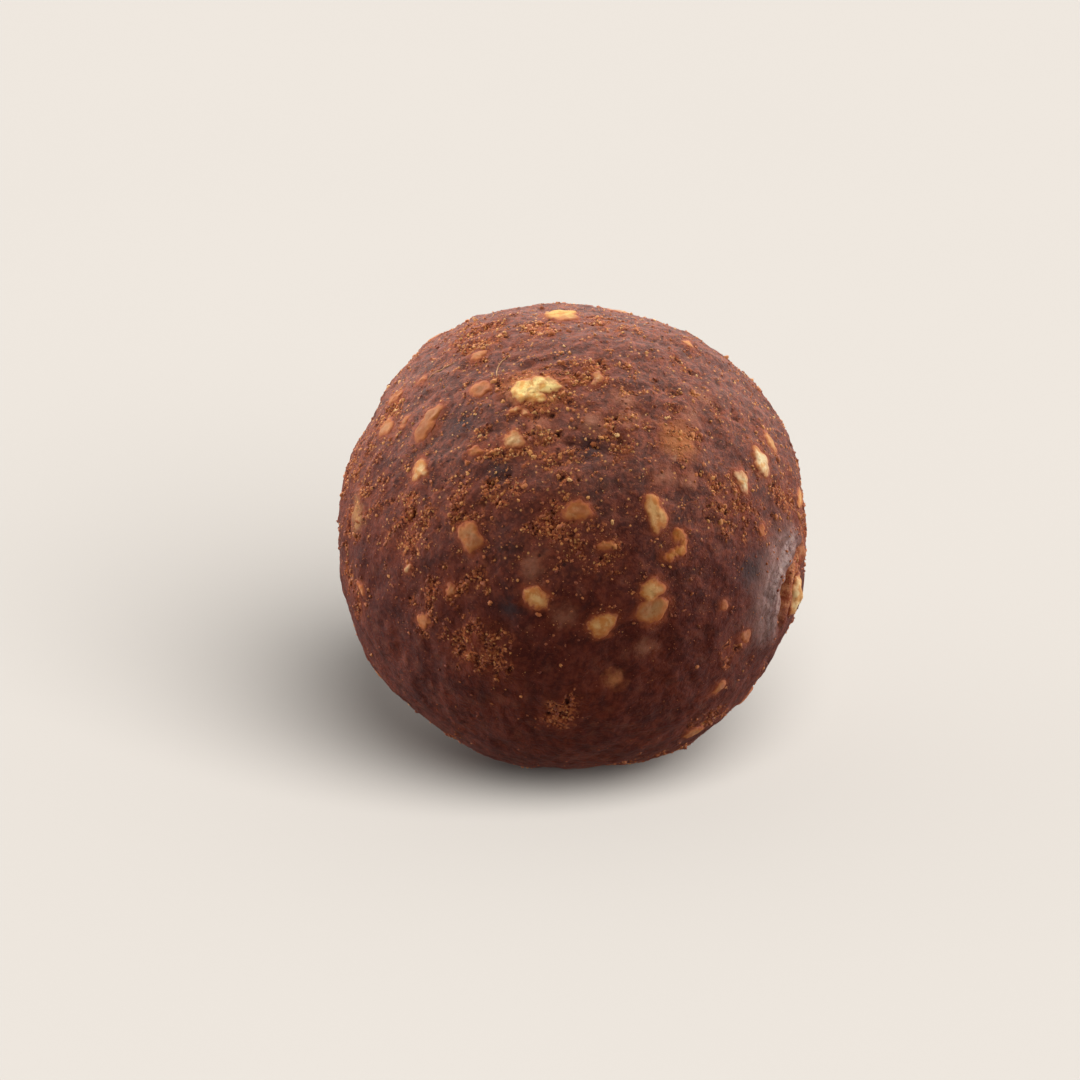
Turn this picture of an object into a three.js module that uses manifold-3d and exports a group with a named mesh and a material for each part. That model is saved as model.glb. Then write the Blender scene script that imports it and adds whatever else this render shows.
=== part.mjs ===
// An energy ball: one hand-rolled ball of date and cocoa paste with chopped nut chips pressed into it.
// Millimetres and degrees, +Z up. The ball rests on a small flat spot, whose middle is at the origin.
import * as THREE from "three";
import { mergeVertices } from "three/addons/utils/BufferGeometryUtils.js";
import Module from "manifold-3d";

// The ball
const BALL_RADIUS = 21.6; // the round before the palms press their flats into it
const CENTRE_HEIGHT = 20.55; // from the surface it rests on up to the ball's centre
const FLAT_SHARPNESS = 60; // how quickly a pressed flat turns into the round
const CORE_DETAIL = 16; // splits of each edge of the icosahedron that the ball is made from
const SEED = 29;

// The show side faces -Y and is looked at from above the level, by this angle.
// A spot on it is given as it is seen: millimetres across and up from the middle of the ball.
const VIEW_TILT = 22;

// Flats along the outline that the viewer sees: angle round the outline, and distance from the centre
const OUTLINE_FLATS = [
  { angle: 3, distance: 20.9 },
  { angle: -28, distance: 21.3 },
  { angle: -42, distance: 21.2 },
  { angle: -86, distance: 20.9 },
  { angle: 52, distance: 21.2 },
  { angle: 74, distance: 20.6 },
  { angle: 97, distance: 21.2 },
  { angle: 152, distance: 21.3 },
  { angle: 178, distance: 21.1 },
  { angle: 200, distance: 21.2 },
  { angle: 232, distance: 21.2 },
];

// Flats away from that outline: turn from the back towards the right, angle above the level, distance
const OTHER_FLATS = [
  { turn: 0, rise: 12, distance: 20.7 },
  { turn: 70, rise: -18, distance: 21.0 },
  { turn: -75, rise: 25, distance: 21.1 },
  { turn: 20, rise: 80, distance: 20.6 },
  { turn: -30, rise: -35, distance: 21.0 },
  { turn: 170, rise: -8, distance: 20.9 },
];

// Soft lumps and dimples that rolling leaves all over
const LUMPS = 210;
const LUMP_REACH = [1.5, 3.6];
const LUMP_HEIGHT = [-0.26, 0.22];

// Long marks on the show side: ridges have a height above zero, grooves below
const MARKS = [
  { from: [-18.4, 6.5], to: [-12.6, 14.6], reach: 1.1, height: -0.3 },
  { from: [-12.2, 12.0], to: [-4.4, 17.4], reach: 1.1, height: -0.3 },
  { from: [-15.6, 4.6], to: [-9.6, 10.4], reach: 1.2, height: -0.22 },
  { from: [-6.0, 5.4], to: [2.8, 8.2], reach: 1.2, height: -0.35 },
  { from: [-5.8, 3.2], to: [0.4, 5.0], reach: 1.1, height: 0.22 },
  { from: [-11.6, -8.0], to: [-7.6, -10.8], reach: 1.1, height: 0.4 },
  { from: [19.0, 0.4], to: [17.4, -9.6], reach: 1.3, height: 0.3 },
];

// The split along the right-hand edge, with a nut chip showing in it
const SPLIT = { across: 20.2, up: -3.6, turn: 96, length: 11, width: 1.3, depth: 1.5 };

// Nut chips that show best: the spot, length and width as they lie on the skin, the turn of the length
// from the level, and how far the chip stands proud
const SEEN_CHIPS = [
  { across: -3.4, up: 13.2, length: 4.3, width: 2.7, turn: 12, proud: 0.4 },
  { across: -0.5, up: 20.3, length: 3.4, width: 3.0, turn: 0, proud: 0.35 },
  { across: 7.4, up: 2.3, length: 4.0, width: 2.0, turn: 97, proud: 0.3 },
  { across: 0.5, up: 2.3, length: 2.8, width: 1.6, turn: 12, proud: 0.25 },
  { across: 7.2, up: -4.8, length: 2.6, width: 2.0, turn: 75, proud: 0.35 },
  { across: 6.9, up: -7.4, length: 2.8, width: 1.9, turn: 20, proud: 0.3 },
  { across: 2.8, up: -8.3, length: 2.5, width: 2.3, turn: 50, proud: 0.3 },
  { across: 9.6, up: -0.8, length: 2.9, width: 1.6, turn: 68, proud: 0.25 },
  { across: -3.2, up: -5.6, length: 2.4, width: 2.0, turn: -25, proud: 0.3 },
  { across: -9.2, up: 0.3, length: 2.5, width: 1.9, turn: -30, proud: 0.3 },
  { across: 17.0, up: 6.8, length: 3.2, width: 2.0, turn: -68, proud: 0.3 },
  { across: 17.8, up: 8.6, length: 2.7, width: 1.8, turn: -60, proud: 0.2 },
  { across: 15.6, up: 4.7, length: 2.4, width: 1.8, turn: -58, proud: 0.3 },
  { across: -13.3, up: 10.2, length: 4.0, width: 1.4, turn: 62, proud: 0.25 },
  { across: -13.6, up: 5.9, length: 1.9, width: 1.7, turn: 70, proud: 0.25 },
  { across: -5.1, up: 8.7, length: 2.1, width: 1.6, turn: -20, proud: 0.25 },
  { across: -8.1, up: 13.2, length: 2.3, width: 1.7, turn: 10, proud: 0.25 },
  { across: 9.9, up: 8.5, length: 3.0, width: 2.4, turn: 40, proud: 0.15 },
  { across: -13.2, up: -7.7, length: 1.9, width: 1.6, turn: 30, proud: 0.2 },
  { across: 20.3, up: -5.2, length: 3.6, width: 2.2, turn: 78, proud: 0.55 },
  { across: 20.6, up: 3.8, length: 2.0, width: 1.6, turn: 85, proud: 0.25 },
  { across: 10.8, up: -17.9, length: 2.4, width: 2.0, turn: 20, proud: 0.2 },
];

// Chips on the sides that the viewer doesn't see, drawn like the seen ones
const UNSEEN_CHIPS = 34;
const CHIP_LENGTH = [1.8, 4.0];
const CHIP_SLIMNESS = [0.55, 0.9]; // width over length
const CHIP_PROUD = [0.15, 0.4];
const CHIP_GAP = 4.5; // least distance between the middles of two drawn chips
const CHIP_LOWEST = -0.8; // how far down a drawn chip may sit, where -1 is straight below the centre
const CHIP_THICKNESS = 1.9;
const LARGE_CHIP = 2.3; // chips longer than this are made with more sides
const CHIP_ROUGHNESS = 0.16; // share by which a corner of a chip may stand in or out
const CHIP_SQUARENESS = 0.7; // power that turns an ellipsoid into a blockier lump, 1 for none
const CHIP_GROWTH = 1.12; // a chip is cut below its widest, so it is made this much wider than it shows

// Coarse crumbs where the skin is torn open: each patch is a spot, its reach and its count
const CRUMB_PATCHES = [
  { across: -9.6, up: -9.4, reach: 2.2, count: 8 },
  { across: -1.1, up: -16.3, reach: 2.0, count: 8 },
  { across: -9.5, up: 15.6, reach: 4.0, count: 10 },
  { across: -1.6, up: 4.4, reach: 2.2, count: 6 },
  { across: -14.5, up: -1.5, reach: 3.0, count: 6 },
];
const CRUMB_SIZE = [0.7, 1.1];
const CRUMB_LIFT = 0.05; // how far a crumb's middle stands out of the skin, as a share of its size

const wasm = await Module();
wasm.setup();

// Seeded draws, so that the ball comes out the same each time
function seededDraw(seed) {
  let state = seed;
  return () => {
    state = (state + 0x6d2b79f5) | 0;
    let mixed = Math.imul(state ^ (state >>> 15), state | 1);
    mixed ^= mixed + Math.imul(mixed ^ (mixed >>> 7), mixed | 61);
    return ((mixed ^ (mixed >>> 14)) >>> 0) / 2 ** 32;
  };
}
const draw = seededDraw(SEED);
const between = ([low, high]) => low + (high - low) * draw();

// Directions from the ball's centre
const UP = new THREE.Vector3(0, 0, 1);
const tilt = THREE.MathUtils.degToRad(VIEW_TILT);
const viewRight = new THREE.Vector3(1, 0, 0);
const towardsViewer = new THREE.Vector3(0, -Math.cos(tilt), Math.sin(tilt));
const viewUp = new THREE.Vector3().crossVectors(towardsViewer, viewRight);

function seenDirection(across, up) {
  const near = Math.sqrt(Math.max(0, BALL_RADIUS ** 2 - across ** 2 - up ** 2));
  return new THREE.Vector3()
    .addScaledVector(viewRight, across)
    .addScaledVector(viewUp, up)
    .addScaledVector(towardsViewer, near)
    .normalize();
}

function outlineDirection(angle) {
  const turn = THREE.MathUtils.degToRad(angle);
  return viewRight.clone().multiplyScalar(Math.cos(turn)).addScaledVector(viewUp, Math.sin(turn));
}

function turnedDirection(turn, rise) {
  const [around, above] = [turn, rise].map(THREE.MathUtils.degToRad);
  const level = Math.cos(above);
  return new THREE.Vector3(level * Math.sin(around), level * Math.cos(around), Math.sin(above));
}

function drawnDirection() {
  const height = between([-1, 1]);
  const turn = between([0, 2 * Math.PI]);
  const level = Math.sqrt(1 - height ** 2);
  return new THREE.Vector3(level * Math.cos(turn), level * Math.sin(turn), height);
}

function drawnDirectionBehind() {
  const direction = drawnDirection();
  return direction.dot(towardsViewer) > 0 ? direction.reflect(towardsViewer) : direction;
}

// The paste: how far the skin is from the centre in a direction
const flats = [
  ...OUTLINE_FLATS.map(({ angle, distance }) => ({ normal: outlineDirection(angle), distance })),
  ...OTHER_FLATS.map(({ turn, rise, distance }) => ({ normal: turnedDirection(turn, rise), distance })),
];
const lumps = Array.from({ length: LUMPS }, () => ({
  middle: drawnDirection().multiplyScalar(BALL_RADIUS),
  reach: between(LUMP_REACH),
  height: between(LUMP_HEIGHT),
}));
const marks = MARKS.map(({ from, to, reach, height }) => ({
  line: new THREE.Line3(
    seenDirection(...from).multiplyScalar(BALL_RADIUS),
    seenDirection(...to).multiplyScalar(BALL_RADIUS),
  ),
  reach,
  height,
}));

const falloff = (distance, reach) => Math.exp(-((distance / reach) ** 2));

function skinRadius(direction) {
  const pressing = flats.reduce((sum, { normal, distance }) => {
    const facing = Math.max(0, direction.dot(normal));
    return sum + ((BALL_RADIUS * facing) / distance) ** FLAT_SHARPNESS;
  }, 1);
  let radius = BALL_RADIUS * pressing ** (-1 / FLAT_SHARPNESS);
  const spot = direction.clone().multiplyScalar(BALL_RADIUS);
  for (const { middle, reach, height } of lumps) {
    radius += height * falloff(spot.distanceTo(middle), reach);
  }
  const nearest = new THREE.Vector3();
  for (const { line, reach, height } of marks) {
    line.closestPointToPoint(spot, true, nearest);
    radius += height * falloff(spot.distanceTo(nearest), reach);
  }
  return radius;
}

// Geometry into a closed solid for joining and cutting, and back
function closedGeometry(geometry) {
  geometry.deleteAttribute("normal");
  geometry.deleteAttribute("uv");
  return mergeVertices(geometry);
}

function solidOf(geometry) {
  const vertProperties = new Float32Array(geometry.getAttribute("position").array);
  const triVerts = new Uint32Array(geometry.getIndex().array);
  return new wasm.Manifold(new wasm.Mesh({ numProp: 3, vertProperties, triVerts }));
}

function geometryOf(solid) {
  const { vertProperties, triVerts } = solid.getMesh();
  const geometry = new THREE.BufferGeometry();
  geometry.setAttribute("position", new THREE.BufferAttribute(vertProperties, 3));
  geometry.setIndex(new THREE.BufferAttribute(triVerts, 1));
  geometry.computeVertexNormals();
  return geometry;
}

function eachVertex(geometry, change) {
  const position = geometry.getAttribute("position");
  const vertex = new THREE.Vector3();
  for (let i = 0; i < position.count; i += 1) {
    change(vertex.fromBufferAttribute(position, i));
    position.setXYZ(i, vertex.x, vertex.y, vertex.z);
  }
  return geometry;
}

function coreSolid() {
  const geometry = closedGeometry(new THREE.IcosahedronGeometry(1, CORE_DETAIL));
  eachVertex(geometry, (vertex) => vertex.setLength(skinRadius(vertex.clone().normalize())));
  return solidOf(geometry);
}

// Where a thing lies on the skin: its x runs at the turn from the level, its z stands out of the ball
function placeOnSkin(direction, turn, height) {
  const level = new THREE.Vector3().crossVectors(viewUp, direction).normalize();
  const along = level.applyAxisAngle(direction, THREE.MathUtils.degToRad(turn));
  const side = new THREE.Vector3().crossVectors(direction, along);
  const place = direction.clone().multiplyScalar(skinRadius(direction) + height);
  return new THREE.Matrix4().makeBasis(along, side, direction).setPosition(place);
}

// A lump with blunt corners, one unit across its half sizes, with each corner in or out by a drawn share
function lumpGeometry(detail, squareness, roughness) {
  const geometry = closedGeometry(new THREE.IcosahedronGeometry(1, detail));
  const blunt = (value) => Math.sign(value) * Math.abs(value) ** squareness;
  return eachVertex(geometry, (vertex) => {
    vertex.set(blunt(vertex.x), blunt(vertex.y), blunt(vertex.z));
    vertex.multiplyScalar(1 + between([-roughness, roughness]));
  });
}

function chipSolid({ direction, length, width, turn, proud }) {
  const geometry = lumpGeometry(length > LARGE_CHIP ? 1 : 0, CHIP_SQUARENESS, CHIP_ROUGHNESS);
  geometry.scale((CHIP_GROWTH * length) / 2, (CHIP_GROWTH * width) / 2, CHIP_THICKNESS / 2);
  geometry.applyMatrix4(placeOnSkin(direction, turn, proud - CHIP_THICKNESS / 2));
  return solidOf(geometry);
}

function crumbSolid(direction) {
  const geometry = lumpGeometry(0, 1, CHIP_ROUGHNESS);
  const size = between(CRUMB_SIZE);
  geometry.scale(size / 2, size / 2, size / 2);
  geometry.applyMatrix4(placeOnSkin(direction, between([0, 360]), CRUMB_LIFT * size));
  return solidOf(geometry);
}

function splitSolid({ across, up, turn, length, width, depth }) {
  const geometry = lumpGeometry(2, 1, 0);
  geometry.scale(length / 2, width / 2, depth);
  geometry.applyMatrix4(placeOnSkin(seenDirection(across, up), turn, 0));
  return solidOf(geometry);
}

// A block that reaches past the ball on every side, with its top at the flat spot
function belowFlatSpot() {
  const size = 4 * BALL_RADIUS;
  const geometry = new THREE.BoxGeometry(size, size, size);
  geometry.translate(0, 0, -CENTRE_HEIGHT - size / 2);
  return solidOf(closedGeometry(geometry));
}

// Chips out of the viewer's sight, each clear of the flat spot and of those drawn before it
function unseenChips() {
  const chips = [];
  while (chips.length < UNSEEN_CHIPS) {
    const direction = drawnDirectionBehind();
    const clear = chips.every((chip) => chip.direction.distanceTo(direction) * BALL_RADIUS > CHIP_GAP);
    if (!clear || direction.dot(UP) < CHIP_LOWEST) continue;
    const length = between(CHIP_LENGTH);
    const width = length * between(CHIP_SLIMNESS);
    chips.push({ direction, length, width, turn: between([0, 180]), proud: between(CHIP_PROUD) });
  }
  return chips;
}

function crumbDirections({ across, up, reach, count }) {
  return Array.from({ length: count }, () => {
    const turn = between([0, 2 * Math.PI]);
    const out = reach * Math.sqrt(draw());
    return seenDirection(across + out * Math.cos(turn), up + out * Math.sin(turn));
  });
}

function ballSolid() {
  const seen = SEEN_CHIPS.map((chip) => ({ ...chip, direction: seenDirection(chip.across, chip.up) }));
  const chips = [...seen, ...unseenChips()].map(chipSolid);
  const crumbs = CRUMB_PATCHES.flatMap(crumbDirections).map(crumbSolid);
  const split = coreSolid().subtract(splitSolid(SPLIT));
  return [...chips, ...crumbs].reduce((ball, piece) => ball.add(piece), split).subtract(belowFlatSpot());
}

// The mesh, moved so that the middle of its footprint is at the origin
function ballMesh() {
  const geometry = geometryOf(ballSolid());
  const material = new THREE.MeshStandardMaterial({ color: 0x4a2822, roughness: 0.6, metalness: 0 });
  const mesh = new THREE.Mesh(geometry, material);
  mesh.name = "energy_ball";
  geometry.computeBoundingBox();
  const middle = geometry.boundingBox.getCenter(new THREE.Vector3());
  mesh.position.set(-middle.x, -middle.y, -geometry.boundingBox.min.z);
  return mesh;
}

const energyBall = new THREE.Group();
energyBall.add(ballMesh());

export default energyBall;
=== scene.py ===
"""The looks of an energy ball: smeared date and cocoa paste, nut chips pressed into it and loose crumbs."""

import math
from dataclasses import dataclass

import bmesh
import bpy
import numpy as np
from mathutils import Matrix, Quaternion, Vector, noise
from mathutils.bvhtree import BVHTree


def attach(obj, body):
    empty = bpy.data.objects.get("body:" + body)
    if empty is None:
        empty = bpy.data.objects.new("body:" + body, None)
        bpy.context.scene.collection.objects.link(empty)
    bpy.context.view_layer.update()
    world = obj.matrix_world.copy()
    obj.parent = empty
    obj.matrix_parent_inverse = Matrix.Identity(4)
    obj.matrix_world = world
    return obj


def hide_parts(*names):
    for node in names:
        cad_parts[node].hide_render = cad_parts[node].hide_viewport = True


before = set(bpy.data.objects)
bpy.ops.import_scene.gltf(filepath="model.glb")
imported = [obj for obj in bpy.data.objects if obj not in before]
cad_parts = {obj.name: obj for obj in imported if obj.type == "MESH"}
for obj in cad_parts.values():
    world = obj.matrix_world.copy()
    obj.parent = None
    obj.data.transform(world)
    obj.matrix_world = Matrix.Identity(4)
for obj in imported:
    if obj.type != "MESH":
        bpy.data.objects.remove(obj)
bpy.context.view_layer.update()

# Lengths are in millimetres from the ball's centre, and become metres in the row frame as a mesh is made
MM = 0.001
NODE = "energy_ball"
CENTRE = np.array([-0.138, -0.08, 20.55])  # the ball's centre in the row frame
RADIUS = 21.2  # the ball's mean radius
SKIN_SPLITS = 98  # splits of each edge of the icosahedron that the skin is made from
SEED = 7
TINY = 1e-9  # keeps a length from being zero

# What the skin's mesh holds for its material, of the values in Skin
SKIN_VALUES = ("dry_and_sheen", "crumble", "glow", "chip", "veil", "grey_patch", "lip", "haze_and_sheen", "inner")

# The show side faces -Y and is looked at from above the level, by this angle in degrees
VIEW_TILT = 22
TILT = math.radians(VIEW_TILT)
VIEW_RIGHT = np.array([1.0, 0.0, 0.0])
TOWARDS_VIEWER = np.array([0.0, -math.cos(TILT), math.sin(TILT)])
VIEW_UP = np.cross(TOWARDS_VIEWER, VIEW_RIGHT)

# The camera's frame: its width where the ball is, and where the ball's centre lies in it
FRAME_WIDTH = 97.7
BALL_ACROSS = 2.9
BALL_UP = 0.4
LENS = 300
SENSOR_WIDTH = 36.0
CLIP_START = 0.01  # in metres
CAMERA_DISTANCE = FRAME_WIDTH * LENS / SENSOR_WIDTH
EYE = CAMERA_DISTANCE * TOWARDS_VIEWER - BALL_ACROSS * VIEW_RIGHT - BALL_UP * VIEW_UP

# Rolling left streaks that run round this spot of the show side
ROLL_POLE = (7.0, -14.8)
STREAK_WIDTH = 0.7
STREAK_LENGTH = 5.0

# The skin's own relief, as heights
LUMP_HEIGHT = 0.17
GRAIN_HEIGHT = 0.07
MOIST_GRAIN = 0.4  # the grain's share where the skin is moist
STREAK_HEIGHT = 0.05
STREAK_BEND = 0.5
WRINKLE_HEIGHT = 0.1
WRINKLE_LEVEL = 0.3
TORN_HEIGHT = 0.17
TORN_LEVEL = 0.3
PIT_DEPTH = 0.25
PIT_RISE = (0.5, 0.85)
LEAST_PITTED = 0.2  # the pits' share where the skin is whole

# Noises, each with the size of its lumps, its seed and its octaves
NOISES = {
    "lumps": (2.6, 5, 3),
    "grain": (0.9, 6, 3),
    "bends": (2.0, 12, 2),
    "streaks": (1.4, 7, 2),
    "wrinkles": (2.4, 16, 2),
    "tears": (0.65, 8, 2),
    "pits": (0.8, 9, 2),
    "faint creases": (2.4, 17, 1),
    "creased places": (3.0, 18, 2),
    "dry edge": (5.0, 15, 2),
    "torn places": (1.5, 3, 3),
    "torn streaks": (1.0, 4, 2),
    "clumps": (1.2, 14, 3),
    "crease line": (1.0, 32, 2),
    "fold line": (1.5, 30, 3),
    "fold lumps": (1.2, 31, 2),
    "chip outline": (0.7, 22, 3),
    "chip face": (0.8, 20, 3),
    "fold nut": (1.2, 21, 3),
}
NOISE_SHIFT = (17.3, -9.1, 5.7)  # how far each seed lies from the one before it
NOISE_GAIN = 1.4

# From its moist base up to its dry top the skin turns grainy, between these heights over the centre
# Its colour turns paler up there too: partly dusty paste, partly painted sheen from the light above
DRY_RISE = (-1.0, 15.5)
DRY_STRAY = 3.0  # how far those heights stray
DUSTY_RISE = (-9.0, 10.0)  # and loose grains become more between these
LEAST_DUSTY = 0.1

# The fold at the right of the show side, from its top down: its line, and its lip, gap and back layer, each
# with its height, how far behind the line it is and its width
FOLD = [(20.8, 1.4), (20.4, -0.8), (19.8, -2.3), (19.0, -4.5), (18.7, -7.0), (18.3, -9.8)]
FOLD_LENGTH = 14.4
FOLD_LIP = (0.45, -0.9, 0.81)
FOLD_GAP = (-0.9, 0.45, 0.405)
FOLD_BACK = (0.35, 1.62, 0.9)
FOLD_STRAY = 0.35  # how far it strays from its line
FOLD_UNEVENNESS = 0.5

# The fold's colours: how far behind the line each is and its width, and the streaks of its painted sheen
HAZE_AT = (-2.25, 1.98)
SHEEN_AT = (-1.35, 1.26)
INNER_AT = (1.17, 0.99)
SHEEN_WIDTH = 0.35
SHEEN_LENGTH = 2.5

# Shares of the fold's line between which it and its parts fade in, and between which it ends
FOLD_TOP = (0.05, 0.3)
GAP_TOP = (0.1, 0.4)
SHEEN_TOP = (0.1, 0.45)
INNER_TOP = (0.0, 0.12)
FOLD_FOOT = (1.0, 0.7)

# Creases where the paste closed over itself, each a line on the show side, and fainter ones all over
CREASES = [[(-8.2, 4.3), (-6.6, 4.9), (-5.0, 5.4)], [(-1.6, 8.6), (1.0, 8.3), (3.2, 7.6)]]
CREASE_DEPTH = 0.3
CREASE_WIDTH = 0.35
CREASE_TAPER = 0.2  # the share of its line over which each end fades
FAINT_CREASE_DEPTH = 0.12
FAINT_CREASE_WIDTH = 0.25
CREASED_RISE = (0.2, 0.6)

# Nut colours, as they look in white light
NUT_TINTS = {
    "yellow": (252, 222, 142),
    "cream": (224, 172, 108),
    "pale": (232, 210, 162),
    "straw": (226, 190, 134),
    "gold": (206, 164, 80),
    "tan": (190, 134, 84),
    "ochre": (194, 132, 66),
    "pink": (198, 138, 108),
    "rust": (224, 146, 88),
}

AMBER = (234, 188, 142)  # what a nut's colour is multiplied by where it is darker
AMBER_SHARE = 0.85
AMBER_RISE = (0.46, 0.6)
DUST = (236, 208, 190)  # the dusty film on the paste
STAIN = (158, 78, 46)  # the paste at a nut's edge

# The paste's own colours from dark to bright, and how mottled it is: where moist, by how much more where dry,
# and on a nut
PASTE_STOPS = [(0.32, (78, 34, 29)), (0.5, (108, 46, 35)), (0.68, (138, 60, 37))]
MOIST_CONTRAST = 0.6
DRY_CONTRAST = 0.5
NUT_PASTE_CONTRAST = 0.5

# Colours of crumbs from dark to light, and of fibres
CRUMB_STOPS = [(0.05, (130, 62, 40)), (0.3, (192, 108, 56)), (0.6, (222, 150, 80)), (0.95, (248, 206, 138))]
FIBRE_COLOURS = [(226, 176, 120), (150, 92, 60)]

# Layers of colour on the paste, the nuts and the crumbs: how each looks in white light, how much it covers,
# and if it follows a pattern or an edge, the values between which it comes up
LAYERS = {
    "pale blotch": ((150, 78, 60), 0.55, 0.5, 0.62),
    "dark blotch": ((60, 25, 22), 0.75, 0.5, 0.38),
    "pale spot": ((170, 104, 80), 0.55),
    "murky spot": ((52, 32, 32), 0.6),
    "red fleck": ((158, 66, 44), 0.5),
    "light mottle": ((176, 90, 58), 0.6, 0.5, 0.6),
    "dark mottle": ((50, 20, 17), 0.7, 0.49, 0.39),
    # paler and greyer on the dry top: partly dusty paste, partly painted sheen from the light above
    "dry_and_sheen": ((144, 104, 90), 0.32),
    "moist": ((78, 23, 10), 0.6),
    # pale streaks are painted sheen on the smears' ridges, dark streaks painted shade in their grooves
    "pale streak": ((146, 92, 80), 0.3, 0.54, 0.7),
    "dark streak": ((58, 26, 24), 0.3, 0.48, 0.36),
    "glow": ((152, 68, 38), 0.55),
    # dark blue-grey patches, one of them painted shade in a hollow
    "grey_patch": ((64, 50, 50), 0.85, 0.3, 0.5),
    # a pale dusty tint before the fold, partly painted sheen
    "haze_and_sheen": ((146, 110, 100), 0.55),
    # a painted highlight on the fold's lip
    "sheen": ((190, 160, 152), 1.0, 0.3, 0.7),
    "inner paste": ((182, 86, 42), 0.5),
    "inner crumb": ((212, 146, 96), 0.6, 0.42, 0.6),
    # an orange halo round the chips: partly crumb at their border, partly painted glow of light scattered out
    # of them
    "chip halo": ((160, 78, 44), 0.55, 0.7, -0.1),
    "light crumb": ((190, 106, 60), 0.8, 0.48, 0.58),
    "dark crumb": ((60, 23, 15), 0.9, 0.46, 0.37),
    "golden speck": ((214, 148, 90), 1.0),
    "dark speck": ((40, 17, 14), 0.8),
    # painted shade, darker in the skin's hollows
    "hollow": ((60, 23, 15), 1.0, 0.05, 0.2),
    "nut film": ((186, 104, 48), 0.4, 0.52, 0.66),
    "nut cover": ((154, 96, 74), 0.85),
    "nut rim": ((192, 106, 46), 0.65, -0.9, -0.1),
    "nut stain": (STAIN, 1.0, 0.0, 0.4),
    "crumb mottle": ((150, 68, 40), 0.25),
}

# Patterns in the materials, each with the size of its lumps, its detail and its roughness
PATTERNS = {
    "tones": (4.0, 4, 0.55),
    "blotches": (1.3, 5, 0.62),
    "mottle": (0.42, 4, 0.68),
    "smears": (1.6, 4, 0.6),
    "grey_patches": (0.9, 4, 0.6),
    "sheen": (1.6, 3, 0.6),
    "inner layer": (0.8, 5, 0.65),
    "halo edge": (1.1, 5, 0.65),
    "torn grain": (0.32, 4, 0.65),
    "nut grain": (0.9, 5, 0.65),
    "nut film": (0.7, 5, 0.65),
    "nut edge": (0.4, 4, 0.65),
    "crumb": (0.2, 2, 0.55),
    "crumb bumps": (0.12, 2, 0.55),
    "fibre": (0.8, 3, 0.55),
    "floor": (60, 2, 0.55),
}

# Spots in the paste, each with the size of the cells that they lie in, and its reach and blur in a cell
SPOTS = {
    "pale spot": (1.4, 0.3, 0.28),
    "murky spot": (2.2, 0.3, 0.28),
    "red fleck": (0.8, 0.3, 0.2),
    "golden speck": (0.34, 0.32, 0.08),
    "dark speck": (0.45, 0.3, 0.14),
}
SPOT_WARP = (1.2, 0.5)  # the size and the amount of the noise that bends most of them
PALE_SPOTS = 0.36  # shares of the cells that have one
MURKY_SPOTS = 0.22
RED_FLECKS = 0.2
TORN_GOLDEN_SPECKS = 0.25
DRY_GOLDEN_SPECKS = 0.06
DRY_DARK_SPECKS = 0.05

# How the layers give way to each other
SHEEN_MOTTLE = (0.3, 0.55)
HALO_FRAY = 1.4  # how far the edges of halos and nuts stray
NUT_FRAY = 0.9
VEIL_HIDES = 0.6  # how much less shows of a chip under a full veil
GHOST_COVER = 0.9  # how much a chip colours the paste over it
GHOST_EDGE = (0.4, -0.5)
HOLLOW_SHADE = 0.75  # how dark the painted shade in hollows is, and how much less so behind the fold
INNER_LESS_SHADE = 0.6
COVER_FILM = 0.2  # how much more film there is on a covered nut
NUT_EDGE = (0.3, -0.45)  # where a nut's edge lies, and where in it the nut's own colour comes up
NUT_RISE = (0.25, 1.0)

# How rough the paste and the nuts are at least, and by how much more where they are torn, mottled or grainy
PASTE_ROUGHNESS = 0.36
TORN_ROUGHNESS = 0.2
MOTTLE_ROUGHNESS = 0.3
NUT_ROUGHNESS = 0.4
NUT_GRAIN_ROUGHNESS = 0.3

# Heights of the bumps in the paste
MOTTLE_BUMP = 0.9
TORN_BUMP = 0.8
SMEAR_BUMP = 0.15

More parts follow.
